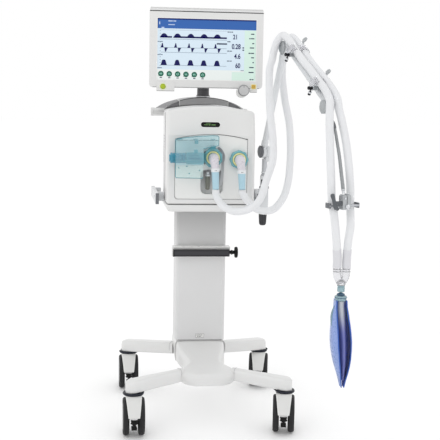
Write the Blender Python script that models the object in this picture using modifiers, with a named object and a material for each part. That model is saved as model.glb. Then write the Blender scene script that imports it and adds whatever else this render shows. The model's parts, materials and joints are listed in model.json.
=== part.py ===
"""Intensive-care ventilator on a five-piece trolley with a hinged hose arm and a test lung.

Frame: metres, +Z up, front faces -Y, floor at z = 0. Everything hangs on the empty
"trolley_frame", which puts the middle of the whole footprint on the origin. Inside that
empty, x = y = 0 is the middle of the four casters.
"""
import math

import bmesh
import bpy
from mathutils import Matrix, Vector

GAP = 0.0003                  # clearance between pieces that rest on each other

# casters
WHEEL_RADIUS = 0.0625
WHEEL_WIDTH = 0.021
WHEEL_OFFSET = 0.0255         # wheel centre from the caster's middle plane
AXLE_RADIUS = 0.005
TRAIL = 0.020                 # wheel centre ahead of the swivel axis, towards the front
PIVOT_X = 0.2525
PIVOT_FRONT_Y = -0.262
PIVOT_REAR_Y = 0.290
RIGHT_CASTER_TURN = math.radians(-10)
FENDER_INNER = 0.0655
FENDER_OUTER = 0.0690
HOUSING_TOP = 0.1318
STEM_RADIUS = 0.006

# trolley
LEG_ROOT_TOP = 0.195
LEG_THICKNESS = 0.042
LEG_FALL = 0.080              # drop of a leg per metre from its root to its end
LEG_HALF_WIDTH = 0.0275
HUB_BOTTOM = 0.151
HUB_TOP = 0.227
COLUMN_HALF_WIDTH = 0.0895
COLUMN_FRONT = 0.080
COLUMN_BACK = 0.215
COLUMN_WALL = 0.003
TRAY_BOTTOM = 0.730
TRAY_TOP = 0.7545
RAIL_OUTER_X = 0.178
RAIL_BOTTOM = 0.749
RAIL_TOP = 0.785
RAIL_FRONT = -0.130
RAIL_BACK = 0.120
HANDLE_Y = 0.235
HANDLE_Z = 1.050

# ventilator unit
UNIT_HALF_WIDTH = 0.1465
UNIT_FRONT = -0.200
UNIT_SEAM = -0.110
UNIT_BACK = 0.170
UNIT_BACK_SHARE = 0.92        # width of the rear wall against the width at the seam
UNIT_BOTTOM = 0.7555
UNIT_SHOULDER = 1.063
UNIT_CROWN = 0.017            # rise of the arched top over its shoulders
UNIT_WALL = 0.003
LEAN_START = 0.985            # above this height the front leans back
LEAN = 0.35
COVER_APEX = 1.107
COVER_EDGE = 1.067
COVER_FRONT = 0.064
COVER_FRONT_HALF = 0.137
COVER_BACK = 0.205
COVER_HALF_WIDTH = 0.160

# front panel and its fittings
PANEL_HALF_WIDTH = 0.120
PANEL_BOTTOM = 0.774
PANEL_SHOULDER = 0.972
PANEL_CROWN = 0.016
PANEL_THICKNESS = 0.005
NICHE = (-0.035, 0.041, 0.790, 0.872)
NICHE_DEPTH = 0.032
EXP_PORT = (0.004, 0.912)
INSP_PORT = (0.091, 0.907)
PORT_DEPTH = 0.0235
ELBOW_RADIUS = 0.0125
SLEEVE_END_Z = 0.812
FLAP_FRONT = -0.264
FLAP_HINGE = (-0.2045, 0.9715)

# monitor
MONITOR_HALF_WIDTH = 0.197
MONITOR_BOTTOM = 1.139
MONITOR_TOP = 1.411
BEZEL_DEPTH = 0.018
MONITOR_DEPTH = 0.060
SCREEN = (-0.170, 0.172, 1.167, 1.3745)
NECK_Y = 0.100
TILT_Z = 1.185
DIAL = (0.1296, 1.133)
DIAL_RADIUS = 0.0205
DIAL_BASE = (0.1256, 1.1268)
PAUSE = (0.1657, 1.1467)
POWER = (-0.1497, 1.1424)
POD_BOTTOM = 1.1268

# hose arm: its links move in one vertical plane, turned by ARM_AZIMUTH from -Y
ARM_AZIMUTH = math.radians(15)
ARM_BASE = Vector((0.195, -0.100, 0.9274))
LOWER_LINK = 0.379
UPPER_LINK = 0.352
LOWER_LEAN = math.radians(23.6)
UPPER_DROP = math.radians(31.6)
BARREL_RADIUS = 0.021
BARREL_WIDTH = 0.013
LINK_RADIUS = 0.011
CLAMP_X = 0.1925
HOSE_RADIUS = 0.012

# Y-piece and test lung
Y_PIECE = Vector((0.350, -0.620, 0.0))
Y_HALF_SPAN = 0.0145
Y_TOP = 0.6145
LUNG_TOP = 0.5415
LUNG_BOTTOM = 0.250
LUNG_HALF_DEPTH = 0.055

# outer reach of the whole object, which centres it on the origin
BASE_HALF_WIDTH = PIVOT_X + WHEEL_OFFSET + WHEEL_WIDTH / 2
REACH_RIGHT = 0.3945
REACH_FRONT = 0.6786
REACH_BACK = 0.3365
CENTRE_SHIFT = Vector(((BASE_HALF_WIDTH - REACH_RIGHT) / 2, (REACH_FRONT - REACH_BACK) / 2, 0))

for leftover in list(bpy.data.objects):
    bpy.data.objects.remove(leftover, do_unlink=True)

parts = bpy.data.collections.new("mechanical_ventilator")
cutters = bpy.data.collections.new("cutters")
bpy.context.scene.collection.children.link(parts)
bpy.context.scene.collection.children.link(cutters)

trolley_frame = bpy.data.objects.new("trolley_frame", None)
parts.objects.link(trolley_frame)
trolley_frame.location = CENTRE_SHIFT


# ---------------------------------------------------------------- materials
def material(name, color, roughness=0.4, metallic=0.0, alpha=1.0):
    made = bpy.data.materials.new(name)
    made.use_nodes = True
    shader = made.node_tree.nodes["Principled BSDF"]
    shader.inputs["Base Color"].default_value = (*color, 1)
    shader.inputs["Roughness"].default_value = roughness
    shader.inputs["Metallic"].default_value = metallic
    shader.inputs["Alpha"].default_value = alpha
    return made


CASING = material("casing_white", (0.76, 0.76, 0.75), 0.35)
LACQUER = material("lacquered_aluminium", (0.62, 0.62, 0.63), 0.38)
COVER_GREY = material("cover_grey", (0.30, 0.30, 0.31), 0.45)
DARK = material("dark_plastic", (0.06, 0.06, 0.065), 0.5)
TYRE = material("tyre_rubber", (0.045, 0.045, 0.048), 0.7)
STEEL = material("steel", (0.45, 0.46, 0.48), 0.3, 0.9)
ARM_GREY = material("arm_grey", (0.66, 0.67, 0.68), 0.35)
TEAL = material("port_teal", (0.22, 0.55, 0.60), 0.25, 0.0, 0.9)
TEAL_DARK = material("sensor_teal", (0.02, 0.22, 0.29), 0.2, 0.0, 0.85)
TEAL_CLEAR = material("flap_teal", (0.25, 0.60, 0.63), 0.1, 0.0, 0.45)
SLEEVE_BLUE = material("elbow_white", (0.78, 0.82, 0.86), 0.3)
HOSE_WHITE = material("hose_silicone", (0.80, 0.81, 0.82), 0.4)
SCREEN_BLUE = material("screen_glass", (0.60, 0.78, 0.90), 0.1)
LIME = material("button_lime", (0.55, 0.66, 0.10), 0.4)
YELLOW = material("button_yellow", (0.72, 0.52, 0.08), 0.4)
TRAP_GREY = material("trap_grey", (0.33, 0.33, 0.30), 0.35)
BAG_BLUE = material("bag_silicone", (0.03, 0.12, 0.50), 0.35)


# ------------------------------------------------------------------ helpers
def add(name, data, mat, location=(0, 0, 0), rotation=(0, 0, 0), parent=None, into=None):
    """Make an object of mesh or curve data, on the trolley frame unless a parent is given."""
    made = bpy.data.objects.new(name, data)
    (into or parts).objects.link(made)
    if mat:
        data.materials.append(mat)
    made.location = location
    made.rotation_euler = rotation
    made.parent = parent or trolley_frame
    return made


def pivot(name, location, rotation=(0, 0, 0), parent=None):
    return add(name, None, None, location, rotation, parent)


def cube_data(name, size):
    mesh = bpy.data.meshes.new(name)
    bm = bmesh.new()
    bmesh.ops.create_cube(bm, size=1.0)
    bmesh.ops.scale(bm, vec=size, verts=bm.verts)
    bm.to_mesh(mesh)
    bm.free()
    return mesh


def bevel(obj, width, segments=2, angle=30):
    mod = obj.modifiers.new("rounded_edges", "BEVEL")
    mod.width = width
    mod.segments = segments
    mod.limit_method = "ANGLE"
    mod.angle_limit = math.radians(angle)
    mod.use_clamp_overlap = True
    return obj


def box(name, low, high, mat=None, rounding=0.0, parent=None, rotation=(0, 0, 0), into=None):
    """A box between two corners; rotation turns it about its own centre."""
    low, high = Vector(low), Vector(high)
    made = add(name, cube_data(name, high - low), mat, (low + high) / 2, rotation, parent, into)
    if rounding:
        bevel(made, rounding)
    return made


def turned(name, profile, mat=None, location=(0, 0, 0), rotation=(0, 0, 0), parent=None,
           steps=24, into=None):
    """A turned solid about local Z; profile is (radius, z) from the top axis point down."""
    mesh = bpy.data.meshes.new(name)
    mesh.from_pydata([(r, 0, z) for r, z in profile],
                     [(i, i + 1) for i in range(len(profile) - 1)], [])
    made = add(name, mesh, mat, location, rotation, parent, into)
    mod = made.modifiers.new("turned", "SCREW")
    mod.steps = steps
    mod.render_steps = steps
    mod.use_merge_vertices = True
    mod.merge_threshold = 0.0001
    mod.use_smooth_shade = True
    return made


def rod(name, radius, low, high, mat=None, location=(0, 0, 0), rotation=(0, 0, 0),
        parent=None, steps=20, into=None):
    """A plain turned cylinder from low to high along local Z."""
    profile = [(0, high), (radius, high), (radius, low), (0, low)]
    return turned(name, profile, mat, location, rotation, parent, steps, into)


def tube_data(name, points, radius, resolution=2):
    curve = bpy.data.curves.new(name, "CURVE")
    curve.dimensions = "3D"
    curve.bevel_depth = radius
    curve.bevel_resolution = resolution
    curve.use_fill_caps = True
    spline = curve.splines.new("POLY")
    spline.points.add(len(points) - 1)
    for point, place in zip(spline.points, points):
        point.co = (*place, 1)
    return curve


def tube(name, points, radius, mat=None, parent=None, resolution=2, into=None):
    made = add(name, tube_data(name, points, radius, resolution), mat, parent=parent, into=into)
    return meshed(made)


def plate(name, outlines, thickness, mat=None, location=(0, 0, 0), rotation=(0, 0, 0),
          parent=None, into=None):
    """A flat sheet from closed outlines in local XY; the second and later ones are holes."""
    curve = bpy.data.curves.new(name, "CURVE")
    curve.dimensions = "2D"
    curve.fill_mode = "BOTH"
    curve.extrude = thickness / 2
    for outline in outlines:
        spline = curve.splines.new("POLY")
        spline.points.add(len(outline) - 1)
        for point, (x, y) in zip(spline.points, outline):
            point.co = (x, y, 0, 1)
        spline.use_cyclic_u = True
    return meshed(add(name, curve, mat, location, rotation, parent, into))


def meshed(curve_object):
    """Swap a curve object for its mesh, with caps welded, under the same name and place."""
    graph = bpy.context.evaluated_depsgraph_get()
    mesh = bpy.data.meshes.new_from_object(curve_object.evaluated_get(graph))
    bm = bmesh.new()
    bm.from_mesh(mesh)
    bmesh.ops.remove_doubles(bm, verts=bm.verts, dist=0.00001)
    bmesh.ops.recalc_face_normals(bm, faces=bm.faces)
    bm.to_mesh(mesh)
    bm.free()
    name, home = curve_object.name, curve_object.users_collection[0]
    location, rotation = curve_object.location.copy(), curve_object.rotation_euler.copy()
    parent = curve_object.parent
    bpy.data.objects.remove(curve_object, do_unlink=True)
    made = bpy.data.objects.new(name, mesh)
    home.objects.link(made)
    made.location, made.rotation_euler, made.parent = location, rotation, parent
    return made


def boolean(target, other, operation):
    if other.name in parts.objects:
        parts.objects.unlink(other)
        cutters.objects.link(other)
    other.hide_render = True
    other.display_type = "WIRE"
    mod = target.modifiers.new(operation.lower(), "BOOLEAN")
    mod.operation = operation
    mod.object = other
    mod.solver = "EXACT"
    return target


def cut(target, *others):
    for other in others:
        boolean(target, other, "DIFFERENCE")
    return target


def join(target, *others):
    for other in others:
        boolean(target, other, "UNION")
    return target


FRONT_VIEW = (math.radians(90), 0, 0)      # local XY seen as world XZ, local Z towards -Y
ALONG_X = (0, math.radians(90), 0)         # local Z along +X
ALONG_FRONT = (math.radians(90), 0, 0)     # local Z along -Y


def arc(cx, cy, radius, start, end, steps):
    """Points on a circle between two angles in degrees."""
    angles = [math.radians(start + (end - start) * i / steps) for i in range(steps + 1)]
    return [(cx + radius * math.cos(a), cy + radius * math.sin(a)) for a in angles]


def rounded_rectangle(x0, x1, y0, y1, radius, steps=3):
    return (arc(x1 - radius, y0 + radius, radius, -90, 0, steps)
            + arc(x1 - radius, y1 - radius, radius, 0, 90, steps)
            + arc(x0 + radius, y1 - radius, radius, 90, 180, steps)
            + arc(x0 + radius, y0 + radius, radius, 180, 270, steps))


def smooth_path(points, per_span=4):
    """Catmull-Rom points through the given places."""
    places = [Vector(p) for p in points]
    ends = [2 * places[0] - places[1], *places, 2 * places[-1] - places[-2]]
    out = []
    for a, b, c, d in zip(ends, ends[1:], ends[2:], ends[3:]):
        for i in range(per_span):
            t = i / per_span
            out.append(0.5 * (2 * b + (c - a) * t + (2 * a - 5 * b + 4 * c - d) * t * t
                              + (3 * b - a - 3 * c + d) * t ** 3))
    return out + [places[-1]]


# ------------------------------------------------------------------ casters
def fender_half_width(angle):
    """Half width of the fender, widest on top and narrowing down its front."""
    share = max(0.0, (angle - 90) / 105)
    return 0.026 - 0.012 * share ** 1.2


def fender(name, parent):
    """The strip over the front of the wheels, swept about the axle in the YZ plane."""
    mesh = bpy.data.meshes.new(name)
    bm = bmesh.new()
    rings = []
    for angle in range(80, 198, 13):
        a = math.radians(angle)
        w = fender_half_width(angle)
        ring = [bm.verts.new((x, r * math.cos(a), r * math.sin(a)))
                for x, r in ((-w, FENDER_INNER), (w, FENDER_INNER),
                             (w, FENDER_OUTER), (-w, FENDER_OUTER))]
        rings.append(ring)
    for one, two in zip(rings, rings[1:]):
        for i in range(4):
            j = (i + 1) % 4
            bm.faces.new((one[i], one[j], two[j], two[i]))
    bm.faces.new(rings[0][::-1])
    bm.faces.new(rings[-1])
    bmesh.ops.recalc_face_normals(bm, faces=bm.faces)
    bm.to_mesh(mesh)
    bm.free()
    return add(name, mesh, None, parent=parent, into=cutters)


def caster(name, x, y, turn):
    """Twin-wheel caster: housing with fender, two wheels and a brake pedal."""
    swivel = pivot(name + "_swivel", (x, y, 0), (0, 0, turn))
    axle = pivot(name + "_axle", (0, -TRAIL, WHEEL_RADIUS), parent=swivel)

    web_outline = (arc(0, 0, 0.0663, 75, 195, 9)
                   + [(-0.0200, -0.0170), (0.0140, -0.0170), (0.0250, 0.0060)])
    web = plate(name + "_housing", [web_outline], 0.025, LACQUER,
                rotation=(math.radians(90), 0, math.radians(90)), parent=axle)
    join(web, fender(name + "_fender", axle))
    join(web, rod(name + "_flange", 0.026, HOUSING_TOP - 0.0045, HOUSING_TOP,
                  parent=swivel, steps=16, into=cutters))
    join(web, rod(name + "_stem", STEM_RADIUS, HOUSING_TOP - 0.002, 0.164, parent=swivel,
                  steps=12, into=cutters))
    reach = WHEEL_OFFSET + WHEEL_WIDTH / 2 - 0.0075
    join(web, rod(name + "_pin", AXLE_RADIUS, -reach, reach, rotation=ALONG_X, parent=axle,
                  steps=12, into=cutters))

    half = WHEEL_WIDTH / 2
    for side, sign in (("left", -1), ("right", 1)):
        profile = [(0, half), (0.0540, half), (0.0605, half - 0.004), (WHEEL_RADIUS, half - 0.009),
                   (WHEEL_RADIUS, 0.009 - half), (0.0605, 0.004 - half), (0.0540, -half),
                   (AXLE_RADIUS + 0.0005, -half), (AXLE_RADIUS + 0.0005, half - 0.0065),
                   (0, half - 0.0065)]
        turned(f"{name}_wheel_{side}", profile, TYRE, (sign * WHEEL_OFFSET, 0, 0),
               (0, sign * math.radians(90), 0), axle, 20)

    pedal_pivot = pivot(name + "_pedal_pivot", (0, -0.037, -0.0245), parent=axle)
    pedal = box(name + "_brake_pedal", (-0.0090, -0.0300, -0.0035), (0.0090, 0.0020, 0.0035),
                DARK, parent=pedal_pivot)
    join(pedal, box(name + "_pedal_plate", (-0.0135, -0.0335, -0.0155), (0.0135, -0.0280, 0.0015),
                    parent=pedal_pivot, into=cutters))
    join(pedal, box(name + "_pedal_prong", (-0.0050, -0.0335, -0.0235), (0.0050, -0.0285, -0.0100),
                    parent=pedal_pivot, into=cutters))


# ------------------------------------------------------------------ trolley
def leg(name, side, pivot_y, root_x, root_low, root_high):
    """A leg from the hub's flank to a round end over the caster, in plan."""
    centre = Vector((side * PIVOT_X, pivot_y))
    root = Vector((side * root_x, (root_low + root_high) / 2))
    heading = math.degrees(math.atan2(*(centre - root).yx))
    end = arc(centre.x, centre.y, LEG_HALF_WIDTH, heading - 90, heading + 90, 8)
    lower, upper = (side * root_x, root_low), (side * root_x, root_high)
    outline = [lower, *end, upper] if side > 0 else [upper, *end, lower]
    made = plate(name, [outline], LEG_THICKNESS, LACQUER,
                 (0, 0, LEG_ROOT_TOP - LEG_THICKNESS / 2))
    outward = (centre - root).normalized()
    for vert in made.data.vertices:
        vert.co.z -= LEG_FALL * max(0.0, (vert.co.xy - root).dot(outward))
    bevel(made, 0.010, 3, 50)
    socket = rod(name + "_socket", STEM_RADIUS + 0.0005, HOUSING_TOP, 0.1655,
                 location=(centre.x, centre.y, 0), steps=12, into=cutters)
    return cut(made, socket)


def hub_section(y, bottom_half, top_half, top, crown, sag=0.0):
    """Cross-section of the hub cover at one station, as an open ring of points."""
    shoulder = top - 0.006
    low = HUB_BOTTOM - sag
    round_in = 2 * sag
    return [(round_in - bottom_half, y, low), (bottom_half - round_in, y, low),
            (bottom_half, y, low + 0.018), (top_half + 0.004, y, shoulder),
            (top_half - 0.003, y, top), (top_half * 0.4, y, top + crown),
            (-top_half * 0.4, y, top + crown), (0.003 - top_half, y, top),
            (-top_half - 0.004, y, shoulder), (-bottom_half, y, low + 0.018)]


def base_hub():
    """Hub cover: under the column, waisted in front of it, flaring to a blunt nose."""
    stations = [(COLUMN_BACK + 0.006, 0.0895, 0.0840, HUB_TOP, 0.0),
                (COLUMN_FRONT, 0.0895, 0.0850, HUB_TOP, 0.0),
                (COLUMN_FRONT - 0.004, 0.0890, 0.0840, HUB_TOP - 0.002, 0.0),
                (0.010, 0.0820, 0.0740, 0.211, 0.0010),
                (-0.060, 0.0720, 0.0590, 0.204, 0.0015),
                (-0.115, 0.0740, 0.0540, 0.199, 0.0020),
                (-0.150, 0.0860, 0.0700, 0.1960, 0.0025, 0.003),
                (-0.172, 0.0935, 0.0840, 0.1930, 0.0030, 0.005),
                (-0.205, 0.0935, 0.0850, 0.1890, 0.0050, 0.006),
                (-0.228, 0.0700, 0.0620, 0.1850, 0.0060, 0.006),
                (-0.242, 0.0380, 0.0330, 0.1820, 0.0060, 0.004)]
    mesh = bpy.data.meshes.new("base_hub")
    bm = bmesh.new()
    rings = [[bm.verts.new(p) for p in hub_section(*station)] for station in stations]
    for one, two in zip(rings, rings[1:]):
        for i, vert in enumerate(one):
            j = (i + 1) % len(one)
            bm.faces.new((vert, one[j], two[j], two[i]))
    bm.faces.new(rings[0])
    bm.faces.new(rings[-1][::-1])
    bmesh.ops.recalc_face_normals(bm, faces=bm.faces)
    bm.to_mesh(mesh)
    bm.free()
    return add("base_hub", mesh, LACQUER)


def trolley():
    base_hub()
    for word, side in (("left", -1), ("right", 1)):
        leg(f"leg_front_{word}", side, PIVOT_FRONT_Y, 0.0940, -0.2100, -0.1760)
        leg(f"leg_rear_{word}", side, PIVOT_REAR_Y, 0.0900, 0.1650, 0.2170)

    outer = rounded_rectangle(-COLUMN_HALF_WIDTH, COLUMN_HALF_WIDTH, COLUMN_FRONT, COLUMN_BACK,
                              0.012)
    wall = COLUMN_WALL
    inner = rounded_rectangle(wall - COLUMN_HALF_WIDTH, COLUMN_HALF_WIDTH - wall,
                              COLUMN_FRONT + wall, COLUMN_BACK - wall, 0.009)
    low, high = HUB_TOP + GAP, TRAY_BOTTOM - GAP
    plate("column_shell", [outer, inner], high - low, LACQUER, (0, 0, (low + high) / 2))

    box("rail_bracket", (-0.107, 0.0540, 0.538), (0.102, COLUMN_FRONT - GAP, 0.577), CASING, 0.003)
    box("accessory_rail", (-0.1005, 0.0420, 0.541), (0.098, 0.0520, 0.566), DARK, 0.001)
    knob = [(0, 0.0300), (0.0185, 0.0300), (0.0200, 0.0280), (0.0200, 0.0205), (0.0185, 0.0190),
            (0.0060, 0.0190), (0.0060, 0), (0, 0)]
    turned("rail_knob", knob, DARK, (0.0983, 0.0470, 0.5560), ALONG_X)


def tray():
    plate_box = box("ventilator_tray", (-UNIT_HALF_WIDTH, UNIT_FRONT, TRAY_BOTTOM),
                    (UNIT_HALF_WIDTH, 0.216, TRAY_TOP), CASING, 0.006)
    return plate_box


def side_rail(name, side):
    """Accessory rail on two standoffs at the unit's flank."""
    def slab(label, x0, x1, y0, y1, into=None):
        xs = sorted((side * x0, side * x1))
        return box(label, (xs[0], y0, RAIL_BOTTOM + (0 if into is None else 0.003)),
                   (xs[1], y1, RAIL_TOP - (0 if into is None else 0.003)), ARM_GREY, into=into)

    rail = slab(name, RAIL_OUTER_X - 0.010, RAIL_OUTER_X, RAIL_FRONT, RAIL_BACK)
    for place, y in (("front", -0.062), ("rear", 0.095)):
        join(rail, slab(f"{name}_{place}_standoff", UNIT_HALF_WIDTH + GAP, RAIL_OUTER_X - 0.009,
                        y, y + 0.025, cutters))
    return rail


def push_handle():
    bar = rod("push_handle", 0.015, -RAIL_OUTER_X, RAIL_OUTER_X, CASING,
              (0, HANDLE_Y, HANDLE_Z), ALONG_X, steps=20)
    for side in (-1, 1):
        x = side * 0.105
        join(bar, box(f"handle_arm_{side}", (x - 0.014, UNIT_BACK + GAP, HANDLE_Z - 0.011),
                      (x + 0.014, HANDLE_Y, HANDLE_Z + 0.011), into=cutters))
    return bar


# --------------------------------------------------------- ventilator unit
def casing_top(x):
    return UNIT_SHOULDER + UNIT_CROWN * (1 - (x / UNIT_HALF_WIDTH) ** 2)


def casing_front(z):
    return UNIT_FRONT + max(0.0, z - LEAN_START) * LEAN


def casing(name, front, back, open_side, leaning):
    """A five-sided shell with an arched top, open towards open_side (+1 back, -1 front)."""
    columns, rows = 8, 4
    mesh = bpy.data.meshes.new(name)
    bm = bmesh.new()
    bmesh.ops.create_grid(bm, x_segments=columns, y_segments=rows, size=1.0)
    closed_y, open_y = (front, back) if open_side > 0 else (back, front)
    rim = [e for e in bm.edges if e.is_boundary]
    for vert in bm.verts:
        x, share = vert.co.x * UNIT_HALF_WIDTH, (vert.co.y + 1) / 2
        closed_x = x if leaning else x * UNIT_BACK_SHARE
        heights = (UNIT_BOTTOM, UNIT_BOTTOM + 0.115, LEAN_START, UNIT_SHOULDER - 0.038)
        index = min(int(round(share * rows)), rows)
        z = heights[index] if index < rows else casing_top(x)
        vert.co = (closed_x, casing_front(z) if leaning else closed_y, z)
    grown = bmesh.ops.extrude_edge_only(bm, edges=rim)
    for item in grown["geom"]:
        if isinstance(item, bmesh.types.BMVert):
            item.co.y = open_y
            item.co.x /= 1.0 if leaning else UNIT_BACK_SHARE
    bmesh.ops.recalc_face_normals(bm, faces=bm.faces)
    bm.to_mesh(mesh)
    bm.free()
    shell = add(name, mesh, CASING)
    middle = Vector((0, (front + back) / 2, 0.9))
    facing = sum((f.normal.dot(Vector(f.center) - middle) for f in mesh.polygons))
    if facing < 0:
        mesh.flip_normals()
    bevel(shell, 0.009, 3, 40)
    wall = shell.modifiers.new("wall", "SOLIDIFY")
    wall.thickness = UNIT_WALL
    wall.offset = -1
    wall.use_even_offset = True
    return shell


def panel_outline(inset):
    """Outline of the front panel, with rounded lower corners and an arched top."""
    half = PANEL_HALF_WIDTH - inset
    low = PANEL_BOTTOM + inset
    radius = 0.010
    top = [(half * (1 - i / 5), PANEL_SHOULDER - inset + PANEL_CROWN * (1 - (1 - i / 5) ** 2))
           for i in range(11)]
    return (arc(half - radius, low + radius, radius, -90, 0, 3) + top
            + arc(radius - half, low + radius, radius, 180, 270, 3))


def niche_outline(grow):
    x0, x1, z0, z1 = NICHE
    return rounded_rectangle(x0 - grow, x1 + grow, z0 - grow, z1 + grow, 0.018 + grow, 3)


def cover_ring(half, edge):
    """Section of the top cover: flat-topped middle, falling wings, hollow of the casing below."""
    rise = ((1.0, edge), (0.875, edge + 0.012), (0.627, COVER_APEX - 0.012),
            (0.31, COVER_APEX - 0.003), (0.0, COVER_APEX))
    upper = [(half * share, z) for share, z in rise]
    upper += [(-x, z) for x, z in upper[-2::-1]]
    inner = min(half - 0.001, UNIT_HALF_WIDTH)
    under = [(x, casing_top(x) + 0.0012) for x in (inner * (i / 5 - 1) for i in range(11))]
    return [*upper, (-half, edge - 0.006), *under, (half, edge - 0.006)]


def top_cover():
    """Grey hood behind the casing's front edge, growing wider towards the back."""
    mesh = bpy.data.meshes.new("top_cover")
    bm = bmesh.new()
    front = [bm.verts.new((x, COVER_FRONT, z)) for x, z in cover_ring(COVER_FRONT_HALF, COVER_EDGE)]
    back = [bm.verts.new((x, COVER_BACK, z)) for x, z in cover_ring(COVER_HALF_WIDTH, COVER_EDGE)]
    for i, vert in enumerate(front):
        j = (i + 1) % len(front)
        bm.faces.new((vert, front[j], back[j], back[i]))
    bm.faces.new(front)
    bm.faces.new(back[::-1])
    bmesh.ops.recalc_face_normals(bm, faces=bm.faces)
    bm.to_mesh(mesh)
    bm.free()
    return add("top_cover", mesh, COVER_GREY)


def unit():
    front = casing("front_casing", UNIT_FRONT, UNIT_SEAM - GAP, 1, True)
    cut(front, plate("panel_opening", [panel_outline(-0.0004)], 0.02, None,
                     (0, UNIT_FRONT, 0), FRONT_VIEW, into=cutters))
    casing("rear_casing", UNIT_SEAM, UNIT_BACK, -1, False)

    panel = plate("recess_panel", [panel_outline(0.0004)], PANEL_THICKNESS, CASING,
                  (0, UNIT_FRONT + 0.0005 + PANEL_THICKNESS / 2, 0), FRONT_VIEW)
    tub_depth = NICHE_DEPTH + 0.0025
    join(panel, plate("niche_tub", [niche_outline(0.0025)], tub_depth, None,
                      (0, UNIT_FRONT + 0.001 + tub_depth / 2, 0), FRONT_VIEW, into=cutters))
    cut(panel, plate("niche_hollow", [niche_outline(0)], NICHE_DEPTH, None,
                     (0, UNIT_FRONT - 0.001 + NICHE_DEPTH / 2, 0), FRONT_VIEW, into=cutters))

    top_cover()

    box("gas_mixer_block", (-0.120, -0.020, 0.7700), (-0.005, 0.140, 0.8900), STEEL, 0.004)
    box("power_supply", (0.010, -0.040, 0.7700), (0.125, 0.150, 0.8550), STEEL, 0.004)


def port_outline(radius, lobes, depth, steps):
    return [((radius - depth * (1 - math.cos(lobes * a)) / 2) * math.cos(a),
             (radius - depth * (1 - math.cos(lobes * a)) / 2) * math.sin(a))
            for a in (2 * math.pi * i / steps for i in range(steps))]


def elbow(name, port):
    """A bent connector from the port's middle down into the hose sleeve."""
    x, z = port
    front = UNIT_FRONT - 0.0005
    hub = pivot(name + "_pivot", (x, front, z))
    path = [(0, 0, 0), (0, -0.034, 0), (0, -0.043, -0.003), (0.001, -0.049, -0.010),
            (0.003, -0.050, -0.020), (0.006, -0.050, -0.050), (0.007, -0.050, SLEEVE_END_Z - z)]
    return add_tube_smooth(name, path, ELBOW_RADIUS, SLEEVE_BLUE, hub)


def add_tube_smooth(name, path, radius, mat, parent=None, resolution=3):
    made = tube(name, path, radius, mat, parent, resolution)
    made.data.shade_smooth()
    return made


def port_fittings():
    depth_y = UNIT_FRONT - PORT_DEPTH / 2
    hole = arc(0, 0, ELBOW_RADIUS + 0.0010, 0, 345, 23)
    octagon = arc(0, 0, 0.0335, 22.5, 337.5, 7)
    ring = plate("exp_valve_ring", [octagon, hole], PORT_DEPTH, TEAL,
                 (EXP_PORT[0], depth_y, EXP_PORT[1]), FRONT_VIEW)
    join(ring, box("ring_lug", (EXP_PORT[0] - 0.0085, UNIT_FRONT - 0.018, EXP_PORT[1] + 0.026),
                   (EXP_PORT[0] + 0.0085, UNIT_FRONT - 0.004, EXP_PORT[1] + 0.040), into=cutters))
    plate("insp_port_ring", [port_outline(0.0315, 8, 0.0022, 48), hole], PORT_DEPTH, TEAL,
          (INSP_PORT[0], depth_y, INSP_PORT[1]), FRONT_VIEW)
    elbow("exp_elbow", EXP_PORT)
    elbow("insp_elbow", INSP_PORT)

    hinge = pivot("flap_hinge", (0, *FLAP_HINGE))
    hinge_y, hinge_z = FLAP_HINGE
    face = [(-0.123, 0.8485), (-0.033, 0.8485), (-0.033, 0.9450), (0.017, 0.9540),
            (0.017, 0.9860), (0.000, 0.9870), (-0.050, 0.9845), (-0.090, 0.9800), (-0.123, 0.9745)]
    flap = plate("sensor_flap", [[(x, z - hinge_z) for x, z in face]], 0.002, TEAL_CLEAR,
                 (0, FLAP_FRONT + 0.001 - hinge_y, 0), FRONT_VIEW, hinge)
    join(flap, box("flap_top", (-0.1225, FLAP_FRONT + 0.001 - hinge_y, -0.001),
                   (0.0165, 0.001, 0.001), parent=hinge, into=cutters))

    body = [(0, 0.057), (0.0150, 0.057), (0.0175, 0.054), (0.0175, 0.003), (0.0150, 0), (0, 0)]
    sensor = turned("flow_sensor", body, TEAL_DARK, (-0.142, -0.2350, 0.9120), ALONG_X)
    join(sensor, box("sensor_block", (-0.0890, -0.2545, 0.8925), (-0.0300, -0.2165, 0.9315),
                     into=cutters))

    trap = [(0, 0.0595), (0.0050, 0.0595), (0.0050, 0.0500), (0.0080, 0.0480), (0.0080, 0.0040),
            (0.0060, 0.0010), (0, 0)]
    turned("water_trap", trap, TRAP_GREY, (-0.009, -0.1840, 0.8045), steps=16)


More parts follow.
